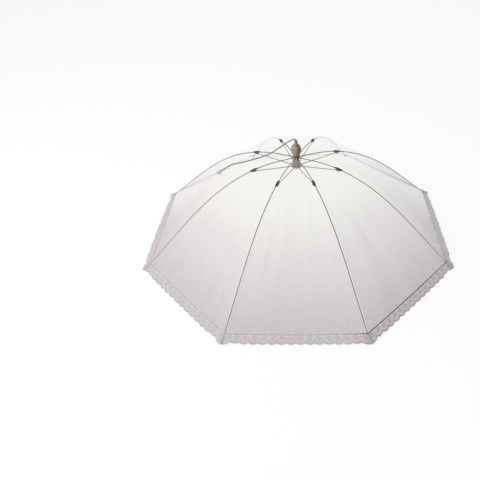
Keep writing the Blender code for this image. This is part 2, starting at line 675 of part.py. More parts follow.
def build():
    """The whole cover, with an empty on every joint's axis."""
    piece("rib_crown", crown_mesh(), RUNNER_PLASTIC)
    piece("crown_wire", ring("crown_wire", PIVOT_HEIGHT, PIVOT_RING_RADIUS, RING_WIRE_RADIUS), RING_STEEL)
    piece("net_washer", washer_mesh(), BEIGE_PLASTIC)
    piece("top_knob", knob_mesh(), BEIGE_PLASTIC)
    piece("finial", finial_mesh(), BEIGE_PLASTIC)
    piece("cord_inner", inner_cord_mesh(), CORD)
    points = cord_points()
    piece("pull_cord", tube("pull_cord", points, CORD_RADIUS, CORD_RESOLUTION), CORD)
    piece("cord_bead", bead_mesh(points), CORD)
    rib, joint, tip, strut = rib_mesh(), joint_mesh(), tip_mesh(), strut_mesh()
    net, lace = net_mesh(), lace_mesh()
    for i in range(RIB_COUNT):
        number = i + 1
        turn = Matrix.Rotation((2 * i + 1) * HALF_STEP, 4, "Z")
        pivot = turn @ Matrix.Translation((PIVOT_RING_RADIUS, 0, PIVOT_HEIGHT))
        fold = hinge_frame(f"rib_{number}_hinge", pivot)
        piece(f"rib_{number}", rib, RIB_STEEL, fold)
        piece(f"rib_joint_{number}", joint, BLACK_PLASTIC, fold)
        piece(f"rib_tip_{number}", tip, BLACK_PLASTIC, fold)
        piece(f"net_panel_{number}", net, NET, fold)
        piece(f"lace_trim_{number}", lace, LACE, fold)
        swing = hinge_frame(f"strut_{number}_hinge", Matrix.Translation(STRUT_PIN), fold)
        piece(f"strut_{number}", strut, STRUT_STEEL, swing)
        if number == 1:
            slide = hinge_frame("runner_hinge", Matrix.Translation(STRUT_RUN), swing)
            to_slide = (pivot @ Matrix.Translation(STRUT_PIN + STRUT_RUN)).inverted()
            rings = ring("runner_wire", RUNNER_PIVOT_HEIGHT, PIVOT_RING_RADIUS, RING_WIRE_RADIUS)
            piece("runner", placed(runner_mesh(), to_slide), RUNNER_PLASTIC, slide)
            piece("runner_wire", placed(rings, to_slide), RING_STEEL, slide)
            piece("cord_knot", placed(knot_mesh(), to_slide), CORD, slide)
    print("pivot height", round(PIVOT_HEIGHT, 5), "pivot ring radius", round(PIVOT_RING_RADIUS, 5))
    print("strut pin", [round(value, 5) for value in STRUT_PIN], "runner pivot", round(RUNNER_PIVOT_HEIGHT, 5))
    print("finial top", round(FINIAL_TOP, 5), "cord points", len(points))


build()
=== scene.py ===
# %% [markdown]
# A folding mesh food cover
# This cover is a small umbrella for the table: eight bowed wire ribs, a net canopy and a lace trim.
# The imported frame gives every moving body its place, so the looks are built round it and never beside it.
# It could be rebuilt from nothing, but then the joints and the looks would drift apart. So the frame is
# loaded first, and most pieces below ride on one of its bodies.

# %% The imported frame
import math

import bmesh
import bpy
from mathutils import Matrix, Vector


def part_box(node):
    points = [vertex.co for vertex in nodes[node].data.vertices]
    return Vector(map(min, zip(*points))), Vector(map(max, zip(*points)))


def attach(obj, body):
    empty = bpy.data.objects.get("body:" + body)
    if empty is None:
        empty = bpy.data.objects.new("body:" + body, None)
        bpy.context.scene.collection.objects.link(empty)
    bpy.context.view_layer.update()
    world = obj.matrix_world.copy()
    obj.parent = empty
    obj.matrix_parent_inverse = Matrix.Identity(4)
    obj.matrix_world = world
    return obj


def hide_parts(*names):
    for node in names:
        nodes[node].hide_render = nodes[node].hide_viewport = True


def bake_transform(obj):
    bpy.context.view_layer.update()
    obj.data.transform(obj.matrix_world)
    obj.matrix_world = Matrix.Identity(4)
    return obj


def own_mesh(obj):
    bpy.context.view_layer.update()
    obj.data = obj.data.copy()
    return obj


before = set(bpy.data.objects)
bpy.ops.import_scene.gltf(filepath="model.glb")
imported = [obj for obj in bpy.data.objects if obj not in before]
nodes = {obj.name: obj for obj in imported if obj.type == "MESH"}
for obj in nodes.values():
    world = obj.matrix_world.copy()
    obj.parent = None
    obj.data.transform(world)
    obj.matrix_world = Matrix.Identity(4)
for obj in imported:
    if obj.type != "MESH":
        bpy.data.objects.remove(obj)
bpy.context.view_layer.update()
bpy.context.scene.view_settings.view_transform = "Standard"

# %% [markdown]
# The camera
# The photograph looks down at about 39 degrees, and the cover stands right of the picture's middle. The
# camera could be turned away from the cover, but that changes the perspective. A shifted lens keeps it:
# the camera looks at the cover's axis, and the shift moves that point in the frame.

# %% The camera
PICTURE = 480
AIM_PIXEL = Vector((297.9, 224.1))
FOCAL_PIXELS = 457.1
AIM = Vector((0, 0, 0.0143))
CAMERA_DISTANCE = 1.262
CAMERA_ELEVATION = math.radians(39.21)
CAMERA_AZIMUTH = math.radians(1.6)
CAMERA_ROLL = math.radians(-1.41)

camera_data = bpy.data.cameras.new("camera")
camera_data.lens = camera_data.sensor_width * FOCAL_PIXELS / PICTURE
camera_data.shift_x = 0.5 - AIM_PIXEL.x / PICTURE
camera_data.shift_y = AIM_PIXEL.y / PICTURE - 0.5
camera = bpy.data.objects.new("camera", camera_data)
bpy.context.collection.objects.link(camera)
level = Vector((0, -math.cos(CAMERA_ELEVATION), math.sin(CAMERA_ELEVATION)))
back = Matrix.Rotation(CAMERA_AZIMUTH, 3, "Z") @ level
looking = (-back).to_track_quat("-Z", "Y").to_matrix().to_4x4()
camera.matrix_world = (
    Matrix.Translation(AIM + back * CAMERA_DISTANCE) @ looking @ Matrix.Rotation(CAMERA_ROLL, 4, "Z")
)
bpy.context.scene.camera = camera


# %% [markdown]
# Helpers for cloth and cord
# Cloth and cord are easier to write as rows of points than to push about by hand. Each gets a UV map in
# metres, called weave, so that threads keep their size wherever the cloth widens or the cord bends.
# Everything is made in place, with its object at the origin, as the frame's own nodes are.

# %% Helpers for cloth and cord
def woven(name, points, marks, faces):
    """Mesh object from points, their places in the flat cloth in metres, and faces."""
    mesh = bpy.data.meshes.new(name)
    mesh.from_pydata(points, [], faces)
    flat = mesh.uv_layers.new(name="weave")
    for loop in mesh.loops:
        flat.data[loop.index].uv = marks[loop.vertex_index]
    mesh.shade_smooth()
    made = bpy.data.objects.new(name, mesh)
    bpy.context.collection.objects.link(made)
    return made


def grid_faces(rows, columns, first=0, ring=False):
    """Quads between rows of points. A ring joins each row's last point to its first."""
    faces = []
    for row in range(rows - 1):
        for column in range(columns if ring else columns - 1):
            following = (column + 1) % columns
            low, high = first + row * columns, first + (row + 1) * columns
            faces.append((low + column, low + following, high + following, high + column))
    return faces


def tube_faces(rows, sides):
    """Quads round a tube's rows of points, and one face over each end."""
    last = (rows - 1) * sides
    ends = [tuple(range(sides))[::-1], tuple(range(last, last + sides))]
    return grid_faces(rows, sides, ring=True) + ends


def paint(piece, material):
    """The piece wears this finish alone."""
    piece.data.materials.clear()
    piece.data.materials.append(material)
    return piece


# %% [markdown]
# Helpers for finishes
# A finish is a small network of nodes. Writing each node with its inputs in one call keeps the network
# readable, from the coordinates on the left to the shader on the right. Many finishes of this cover change
# with the height, or with the distance or direction from its axis, so those have helpers of their own.

# %% Helpers for finishes
def shader_tree(name, **surface):
    """Material with its node tree and its shader, with plain values set on the shader's own sockets."""
    material = bpy.data.materials.new(name)
    material.use_nodes = True
    tree = material.node_tree
    shader = tree.nodes["Principled BSDF"]
    for socket, value in surface.items():
        shader.inputs[socket.replace("_", " ")].default_value = value
    return material, tree, shader.inputs


def node(tree, kind, inputs=None, output=0, **settings):
    """Output of a new node, or the node where it has none. An input takes a value or an output."""
    made = tree.nodes.new("ShaderNode" + kind)
    for setting, value in settings.items():
        setattr(made, setting, value)
    for socket, value in (inputs or {}).items():
        if isinstance(value, bpy.types.NodeSocket):
            tree.links.new(value, made.inputs[socket])
        else:
            made.inputs[socket].default_value = value
    return made.outputs[output] if len(made.outputs) else made


def noise(tree, place, scale, detail=3.0):
    """Soft noise from 0 to 1."""
    return node(tree, "TexNoise", {"Vector": place, "Scale": scale, "Detail": detail})


def between_colours(tree, share, first, second):
    """Mix of two colours by a share from 0 to 1."""
    inputs = {0: share, 6: (*first, 1) if isinstance(first, tuple) else first}
    inputs[7] = (*second, 1) if isinstance(second, tuple) else second
    return node(tree, "Mix", inputs, 2, data_type="RGBA")


def fitted(tree, value, low, high, to_low=0.0, to_high=1.0, smooth=True):
    """A value's range fitted to another, smoothly or in a straight line."""
    inputs = {"Value": value, "From Min": low, "From Max": high, "To Min": to_low, "To Max": to_high}
    return node(tree, "MapRange", inputs, interpolation_type="SMOOTHSTEP" if smooth else "LINEAR")


def bumped(tree, height, strength, distance):
    """Surface direction bent by a height."""
    return node(tree, "Bump", {"Height": height, "Strength": strength, "Distance": distance})


def multiplied(tree, first, second):
    """Product of two values."""
    return node(tree, "Math", {0: first, 1: second}, operation="MULTIPLY")


def without_sign(tree, value):
    """Size of a value, whatever its sign."""
    return node(tree, "Math", {0: value}, operation="ABSOLUTE")


def measure(tree, place, axis):
    """A place's measure along X, Y or Z, which are 0, 1 and 2."""
    return node(tree, "SeparateXYZ", {0: place}, axis)


# %% Helpers for places round the axis
def from_axis(tree, place, operation, output=0):
    """Length or direction of the level line from the cover's axis to a place."""
    flat = node(tree, "VectorMath", {0: place, 1: (1, 1, 0)}, operation="MULTIPLY")
    return node(tree, "VectorMath", {0: flat}, output, operation=operation)


def radius_of(tree, place):
    """Distance of a place from the cover's axis."""
    return from_axis(tree, place, "LENGTH", 1)


def direction_of(tree, place):
    """Direction of a place from the cover's axis, as a level vector one long."""
    return from_axis(tree, place, "NORMALIZE")


def towards(tree, place, azimuth, far, near):
    """From 0 to 1 as a place's direction from the axis nears an azimuth. Far and near are cosines."""
    goal = (math.cos(azimuth), math.sin(azimuth), 0)
    likeness = node(tree, "VectorMath", {0: direction_of(tree, place), 1: goal}, 1, operation="DOT_PRODUCT")
    return fitted(tree, likeness, far, near)


# %% [markdown]
# The pull cord
# The cord runs up inside the knob, leaves its sleeve, and lies over the canopy to a bead on its end.
# Pulling it draws the runner up and opens the cover. It is 3 mm thick and limp, and the photograph shows
# it from end to end, so its length is the length shown. Its route is the frame's own, drawn again as a
# round tube, because the frame's cord is only a few flat sides. The braid runs round it at a slant.

# %% The pull cord's route
CORD_ROUTE = [
    (0.0000, 0.0000, 0.2735), (-0.0003, 0.0000, 0.2749), (-0.0016, 0.0000, 0.2764),
    (-0.0040, 0.0000, 0.2769), (-0.0072, 0.0000, 0.2763), (-0.0110, 0.0000, 0.2746),
    (-0.0170, 0.0000, 0.2710), (-0.0250, 0.0002, 0.2655), (-0.0340, 0.0005, 0.2588),
    (-0.0430, 0.0009, 0.2520), (-0.0520, 0.0014, 0.2453), (-0.0610, 0.0019, 0.2391),
    (-0.0700, 0.0022, 0.2341), (-0.0790, 0.0016, 0.2307), (-0.0900, 0.0000, 0.2276),
    (-0.1020, -0.0008, 0.2243), (-0.1200, -0.0010, 0.2188), (-0.1360, 0.0022, 0.2128),
    (-0.1520, 0.0085, 0.2058), (-0.1640, 0.0132, 0.1998), (-0.1750, 0.0127, 0.1940),
    (-0.1840, 0.0098, 0.1893), (-0.1925, 0.0078, 0.1849),
]
CORD_STEP = 0.0025
CORD_RADIUS = 0.0015
CORD_SIDES = 12


def between(before, start, end, after, share):
    """Point on a smooth curve through start and end, led by the points before and after them."""
    lead = (end - before) / 2
    trail = (after - start) / 2
    cube, square = share**3, share**2
    return (
        start * (2 * cube - 3 * square + 1) + lead * (cube - 2 * square + share)
        + end * (3 * square - 2 * cube) + trail * (cube - square)
    )


def smooth_path(points, step):
    """A smooth curve through points, with a point about every step."""
    route = [Vector(point) for point in points]
    route = [2 * route[0] - route[1]] + route + [2 * route[-1] - route[-2]]
    fine = []
    for i in range(1, len(route) - 2):
        pieces = max(1, round((route[i + 1] - route[i]).length / step))
        fine += [between(*route[i - 1:i + 3], share=k / pieces) for k in range(pieces)]
    return fine + [route[-2]]


cord_path = smooth_path(CORD_ROUTE, CORD_STEP)

# %% The cord's tube
def cord_tube(name, path, radius, sides):
    """Round tube along a path, closed at both ends, with its weave marked round and along."""
    points, marks = [], []
    along = 0
    beside = Vector((0, 1, 0))
    for i, place in enumerate(path):
        ahead = path[min(i + 1, len(path) - 1)]
        behind = path[max(i - 1, 0)]
        heading = (ahead - behind).normalized()
        beside = (beside - heading * beside.dot(heading)).normalized()
        above = heading.cross(beside)
        along += (place - behind).length
        for k in range(sides):
            angle = 2 * math.pi * k / sides
            points.append(place + radius * (math.cos(angle) * beside + math.sin(angle) * above))
            marks.append((radius * angle, along))
    return woven(name, points, marks, tube_faces(len(path), sides))


pull_cord = cord_tube("braided_pull_cord", cord_path, CORD_RADIUS, CORD_SIDES)
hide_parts("pull_cord")
print("cord faces", len(pull_cord.data.polygons))

# %% The cord's finish
CORD_COLOUR = (0.25, 0.21, 0.185)
CORD_SHADE = (0.14, 0.115, 0.10)
CORD_LIGHT = (0.32, 0.275, 0.245)
BRAID_TURN = math.radians(38)
BRAID_SCALE = 190.0
BRAID_HEIGHT = 0.0004
CORD_PATCH_SCALE = 90.0

cord_finish, tree, cord_shader = shader_tree("cord", Roughness=0.75, Sheen_Weight=0.15)
weave = node(tree, "TexCoord", output=2)
slant = node(tree, "Mapping", {"Vector": weave, "Rotation": (0, 0, BRAID_TURN)})
braid = node(tree, "TexWave", {"Vector": slant, "Scale": BRAID_SCALE, "Distortion": 0.6, "Detail": 1.0})
patches = noise(tree, weave, CORD_PATCH_SCALE)
strands = between_colours(tree, fitted(tree, patches, 0.35, 0.7), CORD_COLOUR, CORD_LIGHT)
strands = between_colours(tree, fitted(tree, braid, 0.1, 0.5), CORD_SHADE, strands)
tree.links.new(strands, cord_shader["Base Color"])
tree.links.new(bumped(tree, braid, 0.5, BRAID_HEIGHT), cord_shader["Normal"])
paint(pull_cord, cord_finish)
print("cord finish nodes", len(tree.nodes))

# %% [markdown]
# The ribs' bow
# Everything soft hangs on the ribs, so their bow comes next. It is the frame's own curve: straight at
# the crown, then steeper and steeper until the slope is steady. A traced line could miss it by some
# millimetres, and the same few sizes give it exactly.

# %% The ribs' bow
RIB_COUNT = 8
HALF_STEP = math.pi / RIB_COUNT
PIVOT_RING_RADIUS = 0.0076
RIB_LENGTH_TO_HEM = 0.462
RIB_BEND_START = 0.033
RIB_BEND_END = 0.364
RIB_SLOPE_AT_HEM = math.radians(42.4)
TIP_BALL_PAST_HEM = 0.0185
TIP_FLAT_ABOVE_BALL = 0.0018
NET_LIFT = 0.0031
NET_NEAR_WIRE = 0.0016
JOINT_ALONG_RIB = 0.1035
LIFT_REACH_AT_CROWN = 0.022
LIFT_REACH_AT_CLIP = 0.016
WALK_STEPS = 300


def rib_slope(along):
    """Angle below level of a rib's wire, at a length along it from its pivot."""
    bent = (along - RIB_BEND_START) / (RIB_BEND_END - RIB_BEND_START)
    return RIB_SLOPE_AT_HEM * math.sin(min(max(bent, 0), 1) * math.pi / 2)


def rib_place(along):
    """Point at a length along the rib's wire, from the pivot: (out, 0, up)."""
    step = along / WALK_STEPS
    slopes = [rib_slope((i + 0.5) * step) for i in range(WALK_STEPS)]
    return Vector((step * sum(map(math.cos, slopes)), 0, -step * sum(map(math.sin, slopes))))


def lifted(place, along, lift):
    """A point of the rib's line, raised square off the wire."""
    slope = rib_slope(along)
    return place + Vector((lift * math.sin(slope), 0, lift * math.cos(slope)))


def net_lift(along):
    """How far the net stands off the wire: it lies close to it, but passes over the crown and the clip."""
    over_crown = math.exp(-((along / LIFT_REACH_AT_CROWN) ** 4))
    over_clip = math.exp(-(((along - JOINT_ALONG_RIB) / LIFT_REACH_AT_CLIP) ** 4))
    return NET_NEAR_WIRE + (NET_LIFT - NET_NEAR_WIRE) * max(over_crown, over_clip)


PIVOT_HEIGHT = TIP_FLAT_ABOVE_BALL - rib_place(RIB_LENGTH_TO_HEM + TIP_BALL_PAST_HEM).z
hem_ridge = lifted(rib_place(RIB_LENGTH_TO_HEM), RIB_LENGTH_TO_HEM, net_lift(RIB_LENGTH_TO_HEM))
HALF_SIDE = (PIVOT_RING_RADIUS + hem_ridge.x) * math.sin(HALF_STEP)
print("pivot height", round(PIVOT_HEIGHT, 5), "half a side of the hem", round(HALF_SIDE, 5))

# %% [markdown]
# The net canopy
# The real canopy is eight gores of fine net sewn along the ribs, pulled nearly flat between them, with a
# slight sag and soft pleats that run out from the knob. It could be draped by a cloth simulation, but a
# net under tension between eight wires hardly moves, so its curve is written out and its pleats added.
# When the cover folds, each rib swings down by itself, so the canopy is made in eight stretches, one
# round each rib. Neighbours share the same edge half way, and show as one sheet when the cover is open.

# %% The net's shape
NET_SAG = 0.004
NET_ROWS = 46
NET_COLUMNS = 33
NET_START = 0.0028
PLEAT_HEIGHT = 0.00176
PLEAT_FADE = 0.6
PLEAT_WAVES = ((1.0, 17, 1.3, 0), (0.7, 29, 4.1, 3), (0.5, 45, 2.2, 0), (0.4, 61, 0.7, -5))


def across(ridge, share, out=0, down=0):
    """Point on the flat between two ribs, at a share of the way from a rib's line to the side's middle."""
    radius = PIVOT_RING_RADIUS + ridge.x + out / math.cos(HALF_STEP)
    reach = share * radius * math.sin(HALF_STEP)
    return Vector((
        radius - PIVOT_RING_RADIUS - abs(reach) * math.sin(HALF_STEP),
        reach * math.cos(HALF_STEP),
        ridge.z - down,
    ))


def sag(along, share):
    """How far the net hangs below the straight line between two ribs."""
    return NET_SAG * (along / RIB_LENGTH_TO_HEM) ** 2 * abs(share) * (2 - abs(share))


def pleat(azimuth, along):
    """Height of the soft pleats that run out from the knob. Each wave has a size, a count round the axis,
    a start, and a drift to one side on the way down."""
    waves = sum(
        size * math.sin(count * azimuth + start + drift * along) for size, count, start, drift in PLEAT_WAVES
    )
    share = min(along / RIB_LENGTH_TO_HEM, 1)
    return PLEAT_HEIGHT * waves * share * (1 - share) ** PLEAT_FADE


def rib_azimuth(i):
    """Direction of rib i from the axis."""
    return (2 * i + 1) * HALF_STEP


def rib_frame(i):
    """Where rib i's own measures start: its pivot in the crown."""
    pivot = Matrix.Translation((PIVOT_RING_RADIUS, 0, PIVOT_HEIGHT))
    return Matrix.Rotation(rib_azimuth(i), 4, "Z") @ pivot


net_lengths = [NET_START + (RIB_LENGTH_TO_HEM - NET_START) * i / (NET_ROWS - 1) for i in range(NET_ROWS)]
net_places = [rib_place(along) for along in net_lengths]
net_shares = [2 * i / (NET_COLUMNS - 1) - 1 for i in range(NET_COLUMNS)]


def net_panel(i):
    """The canopy round one rib, half way to each neighbour."""
    turn = rib_frame(i)
    points, marks = [], []
    for along, place in zip(net_lengths, net_places):
        for share in net_shares:
            flat = turn @ across(lifted(place, along, net_lift(along)), share)
            # Pleats start from nothing at the wire and are full half way to the side's middle.
            rise = pleat(math.atan2(flat.y, flat.x), along) * math.sin(math.pi * min(abs(share), 0.5))
            ridge = lifted(place, along, net_lift(along) + rise)
            points.append(turn @ across(ridge, share, down=sag(along, share)))
            marks.append((share * (PIVOT_RING_RADIUS + place.x) * math.sin(HALF_STEP), along))
    return woven(f"net_canopy_{i + 1}", points, marks, grid_faces(NET_ROWS, NET_COLUMNS))


net_panels = [net_panel(i) for i in range(RIB_COUNT)]
print("net panels", len(net_panels), "faces each", len(net_panels[0].data.polygons))

# %% [markdown]
# The net's threads
# Net is threads with holes between them, far too many to model. A picture of net would repeat and blur, so
# two sets of slanted waves are crossed on the weave map instead, and they set how much of the surface is
# there. Streaks that fan out from the knob thicken the net where it is pleated.

# %% The net's threads
MESH_SCALE = 240.0
MESH_TURN = math.radians(33)
MESH_RELIEF = 0.0002
STREAKS_ROUND = 20.0
STREAKS_ALONG = 3.0


def mesh_threads(tree, weave, scale):
    """Crossed waves, from 0 in a hole's middle to 1 on a thread."""
    first = node(tree, "Mapping", {"Vector": weave, "Rotation": (0, 0, MESH_TURN)})
    second = node(tree, "Mapping", {"Vector": weave, "Rotation": (0, 0, -MESH_TURN)})
    waves = [node(tree, "TexWave", {"Vector": turned, "Scale": scale}, 1) for turned in (first, second)]
    return node(tree, "Math", {0: waves[0], 1: waves[1]}, operation="MAXIMUM")


def fanned(tree, place, spread, along):
    """Coordinates that change quickly round the axis and slowly along the canopy."""
    wide = node(tree, "VectorMath", {0: direction_of(tree, place), "Scale": spread}, operation="SCALE")
    slow = node(tree, "VectorMath", {0: place, "Scale": along}, operation="SCALE")
    return node(tree, "VectorMath", {0: wide, 1: slow}, operation="ADD")


net_finish, tree, net_shader = shader_tree("net", Roughness=0.85)
weave = node(tree, "TexCoord", output=2)
place = node(tree, "TexCoord", output=3)
threads = mesh_threads(tree, weave, MESH_SCALE)
streaks = noise(tree, fanned(tree, place, STREAKS_ROUND, STREAKS_ALONG), 1.0)
tree.links.new(bumped(tree, threads, 0.3, MESH_RELIEF), net_shader["Normal"])
print("net mesh scale", MESH_SCALE)

# %% [markdown]
# The net's colour
# The net is one off-white all over, but the photograph shows it cream near the knob and a lilac grey at
# the hem, and whiter at the back, where light comes through it. One plain colour would be simpler. But
# this finish lets no light through from behind, so these tones stand in for that light.

# %% The net's colour
NET_CREAM = (0.63, 0.60, 0.50)
NET_BEIGE = (0.46, 0.39, 0.38)
NET_LILAC = (0.37, 0.305, 0.315)
NET_CLOUDED = (0.32, 0.28, 0.30)
NET_BACKLIT_WHITE = (0.90, 0.89, 0.87)
CREAM_HEIGHT = 0.21
BEIGE_HEIGHT = 0.12
LILAC_HEIGHT = 0.02
BACK_AZIMUTH = math.radians(90)
BACK_NEAR = 0.85
NET_BACK_FAR = -0.25
CLOUD_SCALE = 7.0
CLOUDED_SHARE = 0.05

clouds = noise(tree, place, CLOUD_SCALE)
height = measure(tree, place, 2)
# Painted shade: the net darkens from cream near the knob to lilac grey at the hem.
tint = between_colours(tree, fitted(tree, height, CREAM_HEIGHT, BEIGE_HEIGHT), NET_CREAM, NET_BEIGE)
tint = between_colours(tree, fitted(tree, height, BEIGE_HEIGHT, LILAC_HEIGHT), tint, NET_LILAC)
tint = between_colours(tree, fitted(tree, clouds, 0.3, 0.75, 0, CLOUDED_SHARE), tint, NET_CLOUDED)
# Painted backlight: the net is whiter towards the back.
at_back = towards(tree, place, BACK_AZIMUTH, NET_BACK_FAR, BACK_NEAR)
tree.links.new(between_colours(tree, at_back, tint, NET_BACKLIT_WHITE), net_shader["Base Color"])
print("net colours", NET_CREAM, NET_BEIGE, NET_LILAC)

# %% [markdown]
# The net's cover
# How much of the net is there decides what shows through it. Near the knob it is stretched so fine that
# ribs and clips show nearly black, and towards the hem it is closer. Right over each wire and clip it is
# made nearly clear, for a dark wire stays dark in the photograph, and a plain share of cover would veil it.
# The back has a third of the front's cover, again for the light that comes through.

# %% The net's cover
KNOB_SIDE_HEIGHT = 0.225
COVER_AT_KNOB = 0.34
COVER_AT_HEM = 1.0
PLEAT_COVER = 0.04
LEAST_COVER = 0.012
COVER_AT_BACK = 0.34
COVER_ON_WIRE = 0.06
CLEAR_BESIDE_WIRE = 0.0012
VEILED_BESIDE_WIRE = 0.0024
CLIP_HALF_LENGTH = 0.011
CLIP_FADED = 0.014
CLIP_WIDENING = 0.0036


def thinned_at_back(tree, cover, at_back):
    """Cover that falls to the back's share of it as the place nears the back."""
    return multiplied(tree, cover, fitted(tree, at_back, 0, 1, 1, COVER_AT_BACK, smooth=False))


def parted_on_wire(tree, weave):
    """Share of the cover that is left over a rib's wire, and over a wider stretch at its clip."""
    from_clip = node(tree, "Math", {0: measure(tree, weave, 1), 1: JOINT_ALONG_RIB}, operation="SUBTRACT")
    widened = fitted(tree, without_sign(tree, from_clip), CLIP_HALF_LENGTH, CLIP_FADED, CLIP_WIDENING, 0)
    aside = without_sign(tree, measure(tree, weave, 0))
    aside = node(tree, "Math", {0: aside, 1: widened}, operation="SUBTRACT")
    return fitted(tree, aside, CLEAR_BESIDE_WIRE, VEILED_BESIDE_WIRE, COVER_ON_WIRE, 1)


low_down = fitted(tree, height, KNOB_SIDE_HEIGHT, LILAC_HEIGHT, COVER_AT_KNOB, COVER_AT_HEM, smooth=False)
cover = multiplied(tree, fitted(tree, threads, 0.35, 1.0, smooth=False), low_down)
folds = multiplied(tree, fitted(tree, streaks, 0.48, 0.68), PLEAT_COVER)
thick = node(tree, "Math", {0: cover, 1: folds}, operation="ADD")
thick = node(tree, "Math", {0: thick, 1: LEAST_COVER}, operation="ADD", use_clamp=True)
thick = multiplied(tree, thick, parted_on_wire(tree, weave))
tree.links.new(thinned_at_back(tree, thick, at_back), net_shader["Alpha"])
print("net cover from", COVER_AT_KNOB, "to", COVER_AT_HEM)

# %% [markdown]
# The cloth on the ribs
# A rib's stretch of cloth must gather as its rib swings down among the others. Here each piece only rides
# on its rib and moves with it, with a mesh of its own.


def ride_rib(piece, i):
    """The piece moves with rib i, on a mesh of its own."""
    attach(piece, f"rib_{i + 1}")
    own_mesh(piece)


for i, panel in enumerate(net_panels):
    paint(panel, net_finish)
    ride_rib(panel, i)
    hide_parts(f"net_panel_{i + 1}")

# %% [markdown]
# The gore seams
# Two gores meet along each rib, and their turned edges are sewn down on both sides of the wire, so the
# wire itself stays clear and has a slightly denser strip along either side. It could be a stripe in the
# net's finish, but then it would have no thickness of its own. So each seam is a pair of narrow strips.

# %% The gore seams
SEAM_NEAR_EDGE = 0.0021
SEAM_FAR_EDGE = 0.0034
SEAM_LIFT = 0.0005
SEAM_POINTS = 4
SEAM_FIRST_ROW = 2
SEAM_TOP_HEIGHT = 0.215
SEAM_PALE = (0.92, 0.90, 0.87)
SEAM_SHADED_GREY = (0.72, 0.67, 0.68)
SEAM_COVER_AT_TOP = 0.12
SEAM_COVER_AT_HEM = 0.50

seam_finish, tree, seam_shader = shader_tree("gore_seam", Roughness=0.85)
weave = node(tree, "TexCoord", output=2)
place = node(tree, "TexCoord", output=3)
threads = mesh_threads(tree, weave, MESH_SCALE)
low_down = fitted(tree, measure(tree, place, 2), SEAM_TOP_HEIGHT, LILAC_HEIGHT)
# Painted shade: the seams darken from pale near the knob to grey at the hem, as the net does.
tree.links.new(between_colours(tree, low_down, SEAM_PALE, SEAM_SHADED_GREY), seam_shader["Base Color"])
density = fitted(tree, low_down, 0, 1, SEAM_COVER_AT_TOP, SEAM_COVER_AT_HEM, smooth=False)
cover = multiplied(tree, fitted(tree, threads, 0.2, 0.9, 0.2, 1.0, smooth=False), density)
at_back = towards(tree, place, BACK_AZIMUTH, NET_BACK_FAR, BACK_NEAR)
tree.links.new(thinned_at_back(tree, cover, at_back), seam_shader["Alpha"])
tree.links.new(bumped(tree, threads, 0.4, 0.0003), seam_shader["Normal"])


def gore_seam(i):
    """The two sewn edges beside rib i, each with a slight roll across it."""
    turn = rib_frame(i)
    points, marks, faces = [], [], []
    for side in (-1, 1):
        faces += grid_faces(NET_ROWS - SEAM_FIRST_ROW, SEAM_POINTS, first=len(points))
        for along, place in zip(net_lengths[SEAM_FIRST_ROW:], net_places[SEAM_FIRST_ROW:]):
            half_side = (PIVOT_RING_RADIUS + place.x) * math.sin(HALF_STEP)
            for k in range(SEAM_POINTS):
                step = k / (SEAM_POINTS - 1)
                beside = side * (SEAM_NEAR_EDGE + (SEAM_FAR_EDGE - SEAM_NEAR_EDGE) * step)
                roll = SEAM_LIFT * (0.5 + math.sin(math.pi * step))
                ridge = lifted(place, along, net_lift(along) + roll)
                points.append(turn @ across(ridge, beside / half_side, down=sag(along, beside / half_side)))
                marks.append((beside, along))
    return woven(f"gore_seam_{i + 1}", points, marks, faces)


gore_seams = [paint(gore_seam(i), seam_finish) for i in range(RIB_COUNT)]
for i, seam in enumerate(gore_seams):
    ride_rib(seam, i)
print("gore seams", len(gore_seams))

# %% [markdown]
# The lace trim
# The trim is machine lace: an open ground with one round flower in each scallop, a gap at the hem
# between flowers, and a thick scalloped border. A picture of lace would not do, because its holes show
# against the light and its border stands up. So each stretch is made in two pieces: the thin ground,
# with real gaps, and the raised thread work of flowers and border. Places on it are given as on a flat
# ribbon, as metres along the hem from the rib and out from the hem, and then hung on the canopy's edge.

# %% The lace as a ribbon
LACE_WIDTH = 0.0215
LACE_EDGE_HEIGHT = 0.0035
LACE_LIFT = 0.0003
SCALLOPS_PER_HALF_SIDE = 8
SCALLOP_DEPTH = 0.0035
SCALLOP_ROUNDNESS = 0.75
SCALLOP_PITCH = HALF_SIDE / SCALLOPS_PER_HALF_SIDE
TUCK_MIDDLE = 0.027
TUCK_REACH = 0.012
TUCKED_SHARES = (0.10, 0.10, 0.10, 0.10, 0.06, 0.12, 0.05, 0.14)
LOBE_DEPTH = 0.0026
LOBE_REACH = 0.0125
GATHER_HEIGHT = 0.0022
GATHER_PITCH = 0.013
GATHER_REACH = 0.019
RUFFLE_HEIGHT = 0.0009
RUFFLE_PITCH = 0.047
RUFFLE_START = 0.6


def scalloped(x):
    """Width of the lace at a distance from the rib, where a lobe of it covers the cap on the rib's end."""
    bulge = math.sin(math.pi * (abs(x) / SCALLOP_PITCH % 1)) ** SCALLOP_ROUNDNESS
    lobe = LOBE_DEPTH * math.exp(-((x / LOBE_REACH) ** 4))
    return LACE_WIDTH - max(SCALLOP_DEPTH * (1 - bulge) - lobe, -lobe / 3)


def ruffle(x, out):
    """How far the lace stands off its flat: gathers at the rib and a slight wave along the side."""
    share = out / LACE_WIDTH
    gathers = GATHER_HEIGHT * math.cos(2 * math.pi * x / GATHER_PITCH) * math.exp(-((x / GATHER_REACH) ** 2))
    wave = RUFFLE_HEIGHT * math.sin(2 * math.pi * x / RUFFLE_PITCH + RUFFLE_START)
    return share * (gathers + wave * (1 - (x / HALF_SIDE) ** 4))


